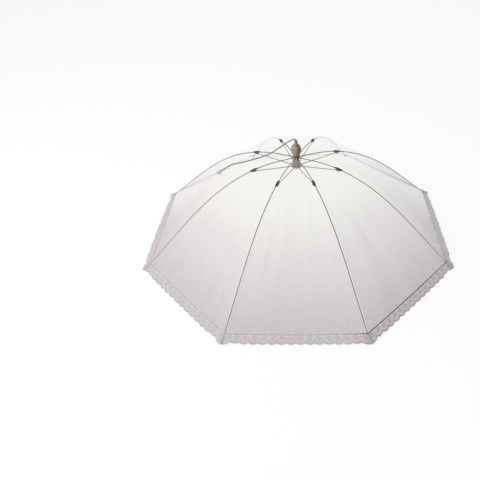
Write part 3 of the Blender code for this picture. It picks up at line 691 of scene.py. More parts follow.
def on_lace(i, x, out, lift=0.0):
    """Point of rib i's lace in rib measures, from its place on the flat ribbon."""
    share = max(-1, min(1, x / HALF_SIDE))
    out = out * (1 - TUCKED_SHARES[i] * math.exp(-(((abs(x) - TUCK_MIDDLE) / TUCK_REACH) ** 2)))
    hang = sag(RIB_LENGTH_TO_HEM, share)
    fall = PIVOT_HEIGHT + hem_ridge.z - hang - LACE_EDGE_HEIGHT
    spread = math.sqrt(LACE_WIDTH**2 - fall**2)
    raised = (lift + LACE_LIFT + ruffle(x, out)) / LACE_WIDTH
    reach = out / LACE_WIDTH
    return across(hem_ridge, share, spread * reach + fall * raised, hang + fall * reach - spread * raised)


print("scallop pitch", round(SCALLOP_PITCH, 5))

# %% The lace's ground
GROUND_STEPS = (0.0, 0.065, 0.22, 0.36, 0.5, 0.64, 0.78, 0.935)
GROUND_ROWS = (0.0, 0.0018, 0.0043, 0.0083, 0.0114, 0.0146, 1.0)
GROUND_INSIDE_EDGE = 0.0012
GAP_ROW = 1
GAP_HALF_WIDTH = 0.11 * SCALLOP_PITCH
GAP_POINT_HALF_WIDTH = 0.15 * SCALLOP_PITCH
GAP_NARROWING = 0.35


def nearest_cusp(x):
    """Place on the hem where two scallops meet, nearest to x."""
    return round(x / SCALLOP_PITCH) * SCALLOP_PITCH


def in_gap(row, middle):
    """Whether a face of the ground is left out, for the gap between two flowers of one stretch."""
    at_end = abs(middle) < GAP_HALF_WIDTH or abs(middle) > HALF_SIDE - GAP_HALF_WIDTH
    return row == GAP_ROW and abs(middle - nearest_cusp(middle)) < GAP_HALF_WIDTH and not at_end


def lace_ground(i):
    """Thin ground of one stretch of lace, with a pointed gap at the hem between flowers."""
    turn = rib_frame(i)
    half = [(k + step) * SCALLOP_PITCH for k in range(SCALLOPS_PER_HALF_SIDE) for step in GROUND_STEPS]
    half.append(HALF_SIDE)
    places = [-x for x in half[:0:-1]] + half
    points, marks = [], []
    for row, out in enumerate(GROUND_ROWS):
        for x in places:
            pulled = x
            near = nearest_cusp(x)
            if row == GAP_ROW + 1 and 0 < abs(x - near) < GAP_POINT_HALF_WIDTH:
                pulled = near + (x - near) * GAP_NARROWING
            reach = scalloped(x) - GROUND_INSIDE_EDGE if out == 1.0 else out
            points.append(turn @ on_lace(i, pulled, reach))
            marks.append((pulled, reach))
    faces = []
    for face in grid_faces(len(GROUND_ROWS), len(places)):
        row, column = divmod(face[0], len(places))
        if not in_gap(row, (places[column] + places[column + 1]) / 2):
            faces.append(face)
    return woven(f"lace_ground_{i + 1}", points, marks, faces)


lace_grounds = [lace_ground(i) for i in range(RIB_COUNT)]
print("lace ground faces each", len(lace_grounds[0].data.polygons))

# %% The lace's flowers
FLOWER_OUT = 0.0085
FLOWER_SIDES = 18
FLOWER_PETALS = 6
PETAL_SHARE = 0.10
PETALS_FROM = 0.0027
FLOWER_RINGS = ((0.0018, 0.0001), (0.0022, 0.0004), (0.0031, 0.0004), (0.0037, 0.0001), (0.0027, -0.0001))


def flower(i, centre):
    """Raised ring of petals on the lace, closed all round."""
    turn = rib_frame(i)
    points, marks = [], []
    for radius, rise in FLOWER_RINGS:
        for k in range(FLOWER_SIDES):
            angle = 2 * math.pi * k / FLOWER_SIDES
            petal = 1 + PETAL_SHARE * math.cos(FLOWER_PETALS * angle) * (radius > PETALS_FROM)
            x, out = centre + radius * petal * math.cos(angle), FLOWER_OUT + radius * petal * math.sin(angle)
            points.append(turn @ on_lace(i, x, out, rise))
            marks.append((x, out))
    rows = len(FLOWER_RINGS)
    faces = grid_faces(rows, FLOWER_SIDES, ring=True)
    last = (rows - 1) * FLOWER_SIDES
    for k in range(FLOWER_SIDES):
        following = (k + 1) % FLOWER_SIDES
        faces.append((last + k, last + following, following, k))
    return points, marks, faces


print("flowers on each stretch", 2 * SCALLOPS_PER_HALF_SIDE)

# %% The lace's border
BORDER_STEPS = 8
BORDER_SECTION = ((1.0, 0.0), (0.55, 0.0005), (0.1, 0.0005), (0.0, 0.0), (0.1, -0.0003), (0.6, -0.0003))
BORDER_WIDTH = 0.0020
CUSP_WIDTH = 0.0018


def edging(i, count, section_at):
    """Closed band along a stretch of lace, with a section of places out and rises at each of its steps."""
    turn = rib_frame(i)
    points, marks = [], []
    for k in range(count + 1):
        x = HALF_SIDE * (2 * k / count - 1)
        section = section_at(x)
        for out, rise in section:
            points.append(turn @ on_lace(i, x, out, rise))
            marks.append((x, out))
    return points, marks, tube_faces(count + 1, len(section))


def border_section(x):
    """The thick edge follows the scallops and is wider where two of them meet."""
    edge = scalloped(x)
    width = BORDER_WIDTH + CUSP_WIDTH * max(LACE_WIDTH - edge, 0) / SCALLOP_DEPTH
    return [(edge - width * inward, rise) for inward, rise in BORDER_SECTION]


def lace_threads(i):
    """Flowers and border of one stretch of lace as one piece."""
    centres = [(k + 0.5) * SCALLOP_PITCH for k in range(-SCALLOPS_PER_HALF_SIDE, SCALLOPS_PER_HALF_SIDE)]
    points, marks, faces = edging(i, 2 * SCALLOPS_PER_HALF_SIDE * BORDER_STEPS, border_section)
    for centre in centres:
        more, more_marks, more_faces = flower(i, centre)
        faces += [tuple(len(points) + k for k in face) for face in more_faces]
        points += more
        marks += more_marks
    return woven(f"lace_threads_{i + 1}", points, marks, faces)


lace_works = [lace_threads(i) for i in range(RIB_COUNT)]
print("lace thread faces each", len(lace_works[0].data.polygons))

# %% [markdown]
# The hem
# Net and lace are sewn together under a narrow rolled tape. In the photograph it is a thin line, dark
# brown along the right front side and hardly darker than the lace elsewhere. It could be a line in the
# lace's finish, but it stands a little proud, so it is a flat closed band on the canopy's edge.

# %% The hem
HEM_SECTION = (
    (-0.0010, 0.0001), (-0.0006, 0.0007), (0.0006, 0.0007),
    (0.0010, 0.0001), (0.0005, -0.0004), (-0.0005, -0.0004),
)
HEM_STEPS = 64


def hem_tape(i):
    """Rolled tape over the join of net and lace round one rib."""
    return woven(f"hem_tape_{i + 1}", *edging(i, HEM_STEPS, lambda x: HEM_SECTION))


hem_tapes = [hem_tape(i) for i in range(RIB_COUNT)]
print("hem tape faces each", len(hem_tapes[0].data.polygons))

# %% [markdown]
# The lace's and the hem's finishes
# Lace is a loose ground with satin stitches on it, and each has its own weave. Its tone changes round the
# cover in the photograph, whiter at the back and darker along the right front side. One colour for all
# would be simpler, but it would lose that, so the colours change with the direction from the axis, and
# stand in for the photograph's light.

# %% The lace's ground finish
SHADED_SIDE_AZIMUTH = math.radians(-45)
SHADED_SIDE_FAR = 0.86
SHADED_SIDE_NEAR = 0.94
LACE_BACK_FAR = 0.3
LACE_BACKLIT_WHITE = (0.88, 0.87, 0.86)
LINEN = (0.43, 0.385, 0.395)
LINEN_LIGHT = (0.49, 0.445, 0.455)
LINEN_SHADED = (0.42, 0.36, 0.365)
GROUND_SCALE = 330.0
GROUND_IN_HOLES = 0.38
GROUND_ON_THREADS = 0.95
LINEN_PATCH_SCALE = 160.0
GATHERED_COVER = 0.93
GATHERED_TO = 0.004
GATHERED_FADED = 0.010


def painted_light_round_cover(tree, pale, dark):
    """Pale colour with painted backlight at the back and painted shade along the right front side."""
    place = node(tree, "TexCoord", output=3)
    at_back = towards(tree, place, BACK_AZIMUTH, LACE_BACK_FAR, BACK_NEAR)
    whiter = between_colours(tree, at_back, pale, LACE_BACKLIT_WHITE)
    in_painted_shade = towards(tree, place, SHADED_SIDE_AZIMUTH, SHADED_SIDE_FAR, SHADED_SIDE_NEAR)
    return between_colours(tree, in_painted_shade, whiter, dark)


ground_finish, tree, ground_shader = shader_tree("lace_ground", Roughness=0.85)
weave = node(tree, "TexCoord", output=2)
place = node(tree, "TexCoord", output=3)
threads = mesh_threads(tree, weave, GROUND_SCALE)
linen = between_colours(tree, noise(tree, weave, LINEN_PATCH_SCALE), LINEN, LINEN_LIGHT)
# Painted backlight at the back and painted shade along the right front side of the lace's ground.
tree.links.new(painted_light_round_cover(tree, linen, LINEN_SHADED), ground_shader["Base Color"])
cover = fitted(tree, threads, 0.25, 0.95, GROUND_IN_HOLES, GROUND_ON_THREADS, smooth=False)
cover = thinned_at_back(tree, cover, towards(tree, place, BACK_AZIMUTH, LACE_BACK_FAR, BACK_NEAR))
aside = without_sign(tree, measure(tree, weave, 0))
gathered = fitted(tree, aside, GATHERED_TO, GATHERED_FADED, GATHERED_COVER, 0)
tree.links.new(node(tree, "Math", {0: cover, 1: gathered}, operation="MAXIMUM"), ground_shader["Alpha"])
tree.links.new(bumped(tree, threads, 0.5, 0.0003), ground_shader["Normal"])
print("lace ground scale", GROUND_SCALE)

# %% The lace's stitches and the tape
SATIN = (0.60, 0.555, 0.565)
SATIN_LIGHT = (0.66, 0.615, 0.625)
STITCH_SHADE = (0.57, 0.525, 0.535)
PETALS_SHADED = (0.48, 0.42, 0.43)
EDGING = (0.50, 0.455, 0.465)
EDGING_LIGHT = (0.58, 0.535, 0.545)
EDGING_SHADED = (0.34, 0.285, 0.29)
EDGING_FROM = 0.0130
EDGING_FULL = 0.0155
TAPE = (0.52, 0.47, 0.48)
TAPE_STITCH = (0.46, 0.41, 0.42)
TAPE_SHADED = (0.13, 0.09, 0.085)
STITCH_SCALE = 420.0
SATIN_PATCH_SCALE = 120.0
TAPE_STITCH_SCALE = 160.0

thread_finish, tree, thread_shader = shader_tree("lace_threads", Roughness=0.8, Sheen_Weight=0.1)
weave = node(tree, "TexCoord", output=2)
waves = {"Vector": weave, "Scale": STITCH_SCALE, "Distortion": 1.5, "Detail": 1.0}
stitches = node(tree, "TexWave", waves)
patches = noise(tree, weave, SATIN_PATCH_SCALE)
satin = between_colours(tree, patches, SATIN, SATIN_LIGHT)
satin = between_colours(tree, fitted(tree, stitches, 0.0, 0.5), STITCH_SHADE, satin)
# Painted shade along the right front side and painted backlight at the back, for flowers and border.
petals = painted_light_round_cover(tree, satin, PETALS_SHADED)
thick_edge = painted_light_round_cover(tree, between_colours(tree, patches, EDGING, EDGING_LIGHT), EDGING_SHADED)
past_flowers = fitted(tree, measure(tree, weave, 1), EDGING_FROM, EDGING_FULL)
tree.links.new(between_colours(tree, past_flowers, petals, thick_edge), thread_shader["Base Color"])
tree.links.new(bumped(tree, stitches, 0.6, 0.0004), thread_shader["Normal"])

hem_finish, tree, hem_shader = shader_tree("hem_tape", Roughness=0.8)
weave = node(tree, "TexCoord", output=2)
stitches = node(tree, "TexWave", {"Vector": weave, "Scale": TAPE_STITCH_SCALE, "Distortion": 0.5})
sewn = fitted(tree, stitches, 0.2, 0.8, 0.0, 0.35)
tape = between_colours(tree, sewn, TAPE, TAPE_STITCH)
# Painted shade makes the tape dark brown along the right front side, and painted backlight whitens it at the
# back.
tree.links.new(painted_light_round_cover(tree, tape, TAPE_SHADED), hem_shader["Base Color"])
tree.links.new(bumped(tree, stitches, 0.5, 0.0003), hem_shader["Normal"])

for i in range(RIB_COUNT):
    paint(lace_grounds[i], ground_finish)
    paint(lace_works[i], thread_finish)
    paint(hem_tapes[i], hem_finish)
    for piece in (lace_grounds[i], lace_works[i], hem_tapes[i]):
        ride_rib(piece, i)
    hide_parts(f"lace_trim_{i + 1}")
print("lace pieces", 3 * RIB_COUNT)

# %% [markdown]
# The cloth's cut
# Each net stretch was a triangle, as wide as the hem's side and as long as the rib, and each lace stretch a
# straight ribbon.

# %% [markdown]
# Wires
# The ribs are bowed spring wire and the struts thinner and browner. New tubes could be drawn for them, but
# the frame's wires have the right shape, so they stay and only get finishes, with fine draw marks. They are
# brown and dark near the crown and greyer farther out. In the photograph the two ribs at the back fade in
# the light behind them and one at the front right is nearly black. Changes of tone with the direction from
# the axis stand in for that light. They are no change of the metal.

# %% Wires
RIB_BROWN = (0.012, 0.009, 0.008)
RIB_GREY = (0.075, 0.066, 0.088)
RIB_PAINTED_BACKLIGHT = (0.72, 0.71, 0.71)
RIB_BROWN_RADIUS = 0.17
RIB_GREY_RADIUS = 0.36
RIB_SHADED_AZIMUTH = math.radians(-22.5)
RIB_SHADED_FAR = 0.93
RIB_SHADED_NEAR = 0.985
RIB_BACKLIGHT_FAR = 0.83
RIB_BACKLIGHT_NEAR = 0.90
CLIP_RADIUS = 0.115
PAST_CLIP_RADIUS = 0.15
STRUT_BROWN = (0.09, 0.065, 0.048)
STRUT_PALE = (0.17, 0.135, 0.10)
RING_GREY = (0.22, 0.22, 0.22)
RING_PALE = (0.34, 0.34, 0.35)
STRUT_BROWN_RADIUS = 0.01
STRUT_PALE_RADIUS = 0.09
RING_PALE_RADIUS = 0.02
WIRE_ROUGHNESS = 0.34
RING_ROUGHNESS = 0.30
DRAW_MARK_SCALE = 160.0
DRAW_MARK_SHARE = 0.5


def drawn_wire(name, dark, light, near, far, roughness):
    """Wire finish, dark out to one radius and light from another."""
    material, tree, shader = shader_tree(name, Metallic=0.45)
    place = node(tree, "TexCoord", output=3)
    marks = noise(tree, place, DRAW_MARK_SCALE)
    base = between_colours(tree, fitted(tree, radius_of(tree, place), near, far), dark, light)
    base = between_colours(tree, fitted(tree, marks, 0.4, 0.7, 0, DRAW_MARK_SHARE), base, dark)
    tree.links.new(base, shader["Base Color"])
    tree.links.new(fitted(tree, marks, 0.3, 0.7, roughness - 0.06, roughness + 0.1), shader["Roughness"])
    tree.links.new(bumped(tree, marks, 0.15, 0.0002), shader["Normal"])
    return material, tree, shader, place, base


rib_finish, tree, rib_shader, place, base = drawn_wire(
    "rib_steel", RIB_BROWN, RIB_GREY, RIB_BROWN_RADIUS, RIB_GREY_RADIUS, WIRE_ROUGHNESS
)
# Painted shade: the rib at the front right is made nearly black.
rib_in_painted_shade = towards(tree, place, RIB_SHADED_AZIMUTH, RIB_SHADED_FAR, RIB_SHADED_NEAR)
base = between_colours(tree, rib_in_painted_shade, base, RIB_BROWN)
# Painted backlight: the ribs at the back turn pale past their clips.
past_clip = fitted(tree, radius_of(tree, place), CLIP_RADIUS, PAST_CLIP_RADIUS)
backlit_ribs = multiplied(tree, towards(tree, place, BACK_AZIMUTH, RIB_BACKLIGHT_FAR, RIB_BACKLIGHT_NEAR), past_clip)
tree.links.new(between_colours(tree, backlit_ribs, base, RIB_PAINTED_BACKLIGHT), rib_shader["Base Color"])
strut_finish = drawn_wire(
    "strut_steel", STRUT_BROWN, STRUT_PALE, STRUT_BROWN_RADIUS, STRUT_PALE_RADIUS, WIRE_ROUGHNESS
)[0]
ring_finish = drawn_wire("ring_steel", RING_GREY, RING_PALE, 0, RING_PALE_RADIUS, RING_ROUGHNESS)[0]
for i in range(RIB_COUNT):
    paint(nodes[f"rib_{i + 1}"], rib_finish)
    paint(nodes[f"strut_{i + 1}"], strut_finish)
for name in ("crown_wire", "runner_wire"):
    paint(nodes[name], ring_finish)
print("wires painted", 2 * RIB_COUNT + 2)

# %% [markdown]
# Finish for moulded plastics
# The knob, its sleeve and the washer are one satin beige plastic, the runner and crown a greener one,
# and the clips and caps on the ribs are black. Moulded plastic has faint flow marks, a fine grain, and
# a thin line where the two halves of the mould met. They could be painted on, but noise at two scales
# gives the marks and the grain, and the distance from the XZ plane gives the line. The knob's right side
# is in shade in the photograph, and a browner tone there stands in for that shade.

# %% Finish for moulded plastics
FLOW_SCALE = 70.0
GRAIN_SCALE = 900.0
MOULD_LINE = 0.00025
MOULD_LINE_HEIGHT = 0.00015
SHADE_AZIMUTH = math.radians(-12)
SHADE_NEAR = 0.95
BEIGE = (0.32, 0.265, 0.205)
BEIGE_FLOW = (0.275, 0.225, 0.17)
BEIGE_IN_SHADE = (0.095, 0.07, 0.042)
OLIVE = (0.27, 0.25, 0.18)
OLIVE_FLOW = (0.21, 0.195, 0.13)
BLACK = (0.007, 0.007, 0.008)
BLACK_FLOW = (0.012, 0.011, 0.012)
BONE = (0.60, 0.55, 0.48)
BONE_FLOW = (0.48, 0.42, 0.36)


def moulded(name, colour, flow_colour, roughness, parted=True, in_shade=None, **surface):
    """Satin plastic with flow marks, a fine grain, a mould line, and painted shade on one side where it is
    given.
    """
    material, tree, shader = shader_tree(name, **surface)
    place = node(tree, "TexCoord", output=3)
    flow = noise(tree, place, FLOW_SCALE)
    grain = noise(tree, place, GRAIN_SCALE)
    base = between_colours(tree, fitted(tree, flow, 0.3, 0.7), colour, flow_colour)
    if in_shade:
        # Painted shade: a browner tone on the right side.
        shaded = towards(tree, place, SHADE_AZIMUTH, 0, SHADE_NEAR)
        base = between_colours(tree, shaded, base, in_shade)
    tree.links.new(base, shader["Base Color"])
    tree.links.new(fitted(tree, grain, 0.3, 0.7, roughness - 0.05, roughness + 0.08), shader["Roughness"])
    surface_line = bumped(tree, grain, 0.15, 0.0001)
    if parted:
        aside = without_sign(tree, measure(tree, place, 1))
        line = fitted(tree, aside, 0, MOULD_LINE, 1, 0)
        raised = {"Height": line, "Strength": 0.5, "Distance": MOULD_LINE_HEIGHT, "Normal": surface_line}
        surface_line = node(tree, "Bump", raised)
    tree.links.new(surface_line, shader["Normal"])
    return material


beige = moulded("beige_plastic", BEIGE, BEIGE_FLOW, 0.34, in_shade=BEIGE_IN_SHADE, Coat_Weight=0.2)
olive = moulded("runner_plastic", OLIVE, OLIVE_FLOW, 0.35)
black = moulded("black_plastic", BLACK, BLACK_FLOW, 0.5, parted=False, Specular_IOR_Level=0.25)
bone = moulded("bead_plastic", BONE, BONE_FLOW, 0.3, parted=False, Coat_Weight=0.3)
print("plastics", [made.name for made in (beige, olive, black, bone)])

# %% [markdown]
# Helpers for moulded pieces
# Most of the hub is turned about the axis. A lathe curve would do it in one step, but drawing a circle
# out, stop by stop, is how one does it by hand, and each stop can be a lip or a groove. A ring's last
# stop is its first again, so that its wall closes, and a solid piece starts from a filled circle.

# %% Helpers for moulded pieces
SAME_PLACE = 0.000001
ROUNDED_ABOVE = math.radians(30)
SMOOTH_BELOW = math.radians(35)


def closed_up(piece):
    """Out of edit mode, with double points merged, faces looking outwards and the object at the origin."""
    bpy.ops.mesh.select_all(action="SELECT")
    bpy.ops.mesh.remove_doubles(threshold=SAME_PLACE)
    bpy.ops.mesh.normals_make_consistent(inside=False)
    bpy.ops.object.mode_set(mode="OBJECT")
    bpy.ops.object.transform_apply(location=True, rotation=True, scale=True)
    return piece


def turned(name, stops, sides, solid=False):
    """Piece drawn out of a circle from stop to stop, each a radius and a height on the axis."""
    bpy.ops.object.select_all(action="DESELECT")
    radius, height = stops[0]
    bpy.ops.mesh.primitive_circle_add(
        vertices=sides, radius=radius, location=(0, 0, height), fill_type="NGON" if solid else "NOTHING"
    )
    made = bpy.context.object
    made.name = name
    bpy.ops.object.mode_set(mode="EDIT")
    for (before, low), (after, high) in zip(stops, stops[1:]):
        bpy.ops.mesh.extrude_region_move(TRANSFORM_OT_translate={"value": (0, 0, high - low)})
        bpy.ops.transform.resize(value=(after / before, after / before, 1), center_override=(0, 0, high))
    return closed_up(made)


def alone(piece):
    """The piece is active, and nothing else is selected."""
    bpy.ops.object.select_all(action="DESELECT")
    piece.select_set(True)
    bpy.context.view_layer.objects.active = piece


def rounded(piece, width):
    """Edges broken by a small round, and smooth shading between them."""
    alone(piece)
    edge = piece.modifiers.new("edge", "BEVEL")
    edge.width = width
    edge.segments = 2
    edge.limit_method = "ANGLE"
    edge.angle_limit = ROUNDED_ABOVE
    bpy.ops.object.modifier_apply(modifier=edge.name)
    bpy.ops.object.shade_smooth_by_angle(angle=SMOOTH_BELOW)
    return piece


def stands_for(piece, material, body, slot, *names):
    """The piece wears its finish, rides on its body and takes the place of the frame's nodes."""
    paint(piece, material)
    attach(piece, body)
    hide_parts(*names)
    return piece


# %% [markdown]
# The knob
# The knob is an egg with a narrow foot, by which the cover is lifted. Its collar passes through the net
# and the washer, and it is hollow below, where the runner's spigot comes up. A ball could be stretched to
# an egg, but two curves, one below its widest place and one above, set its fullness more easily. It is
# half a millimetre fuller than the frame's, and its foot gets a small bead and a groove.

# %% The knob
HUB_SIDES = 56
KNOB_HEIGHT = 0.029
KNOB_RADIUS = 0.0124
KNOB_BASE_RADIUS = 0.0073
KNOB_TOP_RADIUS = 0.0059
KNOB_WIDEST_SHARE = 0.58
KNOB_FULLNESS = 0.75
COLLAR_RADIUS = 0.0044
SPIGOT_BORE_RADIUS = 0.0034
CORD_BORE_RADIUS = 0.0018
SPIGOT_BORE_TOP = 0.0045
KNOB_STEPS = 9
FOOT_ROUND = 0.0004
FOOT_BEAD_TOP = 0.0014
FOOT_GROOVE = 0.0018
KNOB_EDGE = 0.00015

collar_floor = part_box("top_knob")[0].z
knob_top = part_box("top_knob")[1].z
knob_floor = knob_top - KNOB_HEIGHT
foot_stops = [
    (SPIGOT_BORE_RADIUS, collar_floor), (COLLAR_RADIUS, collar_floor), (COLLAR_RADIUS, knob_floor),
    (KNOB_BASE_RADIUS - FOOT_ROUND, knob_floor), (KNOB_BASE_RADIUS, knob_floor + FOOT_ROUND),
    (KNOB_BASE_RADIUS, knob_floor + FOOT_BEAD_TOP), (KNOB_BASE_RADIUS - FOOT_ROUND, knob_floor + FOOT_GROOVE),
]


def egg_below(share):
    """Stop of the egg's lower part, from its foot to its widest."""
    radius = KNOB_RADIUS - (KNOB_RADIUS - KNOB_BASE_RADIUS) * (1 - share) ** 2
    return radius, knob_floor + KNOB_HEIGHT * KNOB_WIDEST_SHARE * share


def egg_above(share):
    """Stop of the egg's upper part, from its widest to its top."""
    angle = share * math.pi / 2
    radius = KNOB_TOP_RADIUS + (KNOB_RADIUS - KNOB_TOP_RADIUS) * max(math.cos(angle), 0) ** KNOB_FULLNESS
    return radius, knob_floor + KNOB_HEIGHT * (KNOB_WIDEST_SHARE + (1 - KNOB_WIDEST_SHARE) * math.sin(angle))


knob_stops = foot_stops + [egg_below(k / KNOB_STEPS) for k in range(2, KNOB_STEPS)]
knob_stops += [egg_above(k / KNOB_STEPS) for k in range(KNOB_STEPS + 1)]
knob_stops += [
    (CORD_BORE_RADIUS, knob_top), (CORD_BORE_RADIUS, knob_floor + SPIGOT_BORE_TOP),
    (SPIGOT_BORE_RADIUS, knob_floor + SPIGOT_BORE_TOP), foot_stops[0],
]
knob = rounded(turned("egg_knob", knob_stops, HUB_SIDES), KNOB_EDGE)
stands_for(knob, beige, "crown", "beige_plastic", "top_knob")
print("knob faces", len(knob.data.polygons))

# %% [markdown]
# The cord's sleeve
# A short sleeve on the knob guides the cord and keeps it from being cut on the knob's edge. It tapers a
# little and ends in a dome round the cord. A plain tube would have a hard rim there, which the real one
# hasn't, so the dome is drawn in five stops and its mouth is flared inwards.

# %% The cord's sleeve
SLEEVE_RADIUS = 0.0047
SLEEVE_TOP_RADIUS = 0.0042
SLEEVE_MOUTH_RADIUS = 0.0024
SLEEVE_DOME = 0.0018
DOME_STEPS = 5
SLEEVE_ROUND = 0.0003
SLEEVE_LIP_TOP = 0.0011
SLEEVE_WAIST = 0.0014
SLEEVE_WAIST_DEPTH = 0.0002
TAPER_BELOW_TOP = 0.004
TAPER_STANDS_OUT = 0.0001
MOUTH_FLARE = 0.0005
SLEEVE_EDGE = 0.0001

sleeve_floor, sleeve_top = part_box("finial")[0].z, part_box("finial")[1].z
sleeve_stops = [
    (CORD_BORE_RADIUS, sleeve_floor), (SLEEVE_RADIUS - SLEEVE_ROUND, sleeve_floor),
    (SLEEVE_RADIUS, sleeve_floor + SLEEVE_ROUND), (SLEEVE_RADIUS, sleeve_floor + SLEEVE_LIP_TOP),
    (SLEEVE_RADIUS - SLEEVE_WAIST_DEPTH, sleeve_floor + SLEEVE_WAIST),
    (SLEEVE_TOP_RADIUS + TAPER_STANDS_OUT, sleeve_top - TAPER_BELOW_TOP),
]
for k in range(DOME_STEPS + 1):
    angle = k / DOME_STEPS * math.pi / 2
    radius = SLEEVE_MOUTH_RADIUS + (SLEEVE_TOP_RADIUS - SLEEVE_MOUTH_RADIUS) * math.cos(angle)
    sleeve_stops.append((radius, sleeve_top - SLEEVE_DOME * (1 - math.sin(angle))))
sleeve_stops += [(CORD_BORE_RADIUS, sleeve_top - MOUTH_FLARE), sleeve_stops[0]]
sleeve = rounded(turned("cord_sleeve", sleeve_stops, HUB_SIDES), SLEEVE_EDGE)
stands_for(sleeve, beige, "crown", "beige_plastic", "finial")
print("sleeve faces", len(sleeve.data.polygons))

# %% [markdown]
# The runner
# The runner is the bell under the crown that the eight struts hang from, and the cord draws it up. Eight
# slots cut its rim into teeth, and each strut's eye sits in a slot on a ring of wire. The slots are cut
# with boxes by a Boolean modifier, because they must be exactly as wide and as high as the frame's.

# %% The runner
PIVOT_ABOVE_FLOOR = 0.0026
RING_GROOVE = 0.0009
KNOT_ROOM_RADIUS = 0.0028
SLOT_INNER_RADIUS = 0.0054
SLOT_WIDTH = 0.0026
SLOT_TOP = 0.0085
KNOT_ROOM_TOP = 0.0105
SPIGOT_RADIUS = 0.0029
SPIGOT_ROUND = 0.0006
NECK_RADIUS = 0.0062
NECK_BELOW_CROWN = 0.0003
BELL = (
    (0.0120, -0.0026), (0.0125, -0.0021), (0.0125, 0.0006), (0.0119, 0.0012), (0.0107, 0.0027),
    (0.0096, 0.0050), (0.0088, 0.0075), (0.0081, 0.0102), (0.0075, 0.0132), (0.0069, 0.0165),
    (0.0064, 0.0190),
)

runner_floor, spigot_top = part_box("runner")[0].z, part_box("runner")[1].z
runner_pivot = runner_floor + PIVOT_ABOVE_FLOOR
neck_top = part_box("rib_crown")[0].z - NECK_BELOW_CROWN
groove_inside, groove_outside = PIVOT_RING_RADIUS - RING_GROOVE, PIVOT_RING_RADIUS + RING_GROOVE
runner_stops = [
    (KNOT_ROOM_RADIUS, runner_floor), (groove_inside, runner_floor),
    (groove_inside, runner_pivot + RING_GROOVE), (groove_outside, runner_pivot + RING_GROOVE),
    (groove_outside, runner_floor),
]
runner_stops += [(radius, runner_pivot + height) for radius, height in BELL]
runner_stops += [
    (NECK_RADIUS, neck_top), (SPIGOT_RADIUS, neck_top), (SPIGOT_RADIUS, spigot_top - SPIGOT_ROUND),
    (SPIGOT_RADIUS - SPIGOT_ROUND, spigot_top), (CORD_BORE_RADIUS, spigot_top),
    (CORD_BORE_RADIUS, runner_pivot + KNOT_ROOM_TOP), (KNOT_ROOM_RADIUS, runner_pivot + KNOT_ROOM_TOP),
    runner_stops[0],
]
runner = turned("runner_bell", runner_stops, HUB_SIDES)
print("runner faces before its slots", len(runner.data.polygons))

# %% The runner's slots
CUTTER_REACH = 0.016
CUTTER_OVERRUN = 0.002
RUNNER_EDGE = 0.0002

slot_low, slot_high = runner_floor - CUTTER_OVERRUN, runner_pivot + SLOT_TOP
slot_place = Vector(((SLOT_INNER_RADIUS + CUTTER_REACH) / 2, 0, (slot_low + slot_high) / 2))
for i in range(RIB_COUNT):
    turned_place = Matrix.Rotation(rib_azimuth(i), 3, "Z") @ slot_place
    bpy.ops.object.select_all(action="DESELECT")
    bpy.ops.mesh.primitive_cube_add(
        size=1, location=turned_place, rotation=(0, 0, rib_azimuth(i)),
        scale=(CUTTER_REACH - SLOT_INNER_RADIUS, SLOT_WIDTH, slot_high - slot_low),
    )
    cutter = bpy.context.object
    alone(runner)
    cut = runner.modifiers.new("slot", "BOOLEAN")
    cut.object = cutter
    bpy.ops.object.modifier_apply(modifier=cut.name)
    bpy.data.objects.remove(cutter, do_unlink=True)
rounded(runner, RUNNER_EDGE)
stands_for(runner, olive, "runner", "runner_plastic", "runner")
print("runner faces", len(runner.data.polygons))

# %% [markdown]
# The cord's bead
# A pale plastic bead on the cord's end gives the fingers something to hold, and stops it slipping into
# the knob. A stretched ball would do from far off, but the real bead is a small barrel with a lip at each
# end. So it is turned upright like the pieces of the hub, and then laid along the cord.

# %% The cord's bead
BEAD_LENGTH = 0.012
BEAD_RADIUS = 0.005
BEAD_END_RADIUS = 0.0022
BEAD_GAP = 0.0003
BEAD_LIP = 0.0003
BEAD_LIP_STANDS_OUT = 0.0001
BEAD_STEPS = 12
BEAD_SIDES = 28
BEAD_EDGE = 0.0001

bead_stops = [
    (BEAD_END_RADIUS - BEAD_LIP, -BEAD_LENGTH / 2),
    (BEAD_END_RADIUS + BEAD_LIP_STANDS_OUT, BEAD_LIP - BEAD_LENGTH / 2),
]
for k in range(1, BEAD_STEPS):
    share = math.sin((k / BEAD_STEPS - 0.5) * math.pi)
    swell = math.sqrt(1 - share * share)
    bead_stops.append((BEAD_END_RADIUS + (BEAD_RADIUS - BEAD_END_RADIUS) * swell, BEAD_LENGTH / 2 * share))
bead_stops += [(radius, -height) for radius, height in bead_stops[1::-1]]
bead = rounded(turned("cord_end_bead", bead_stops, BEAD_SIDES, solid=True), BEAD_EDGE)
heading = (cord_path[-1] - cord_path[-2]).normalized()
laid = heading.to_track_quat("Z", "Y").to_matrix().to_4x4()
bead.data.transform(Matrix.Translation(cord_path[-1] + heading * (BEAD_GAP + BEAD_LENGTH / 2)) @ laid)
paint(bead, bone)
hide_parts("cord_bead")
for piece in (pull_cord, bead):
    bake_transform(piece)

# %% [markdown]
# The clips on the ribs
# A black clip is moulded round each rib a quarter of the way down. Its two ears hold the pin that the
# strut turns on, and its ends taper along the wire. It could be cut from a block, but drawing it out of a
# box keeps its edges true: two cuts mark the slot, the ends are drawn out and made thinner, the ears are
# drawn down, and a pocket is pushed up between them.

# %% The clips on the ribs
CLIP_MIDDLE = 0.009
CLIP_WIDTH = 0.005
CLIP_HALF_HEIGHT = 0.0019
CLIP_TAPERS = ((0.0030, 0.80, 0.84), (0.00225, 0.66, 0.76))
EAR_FLOOR = -0.0052
EAR_LENGTH = 0.006
POCKET = 0.0009
CLIP_EDGE = 0.0003
SQUARE_ON = 0.9


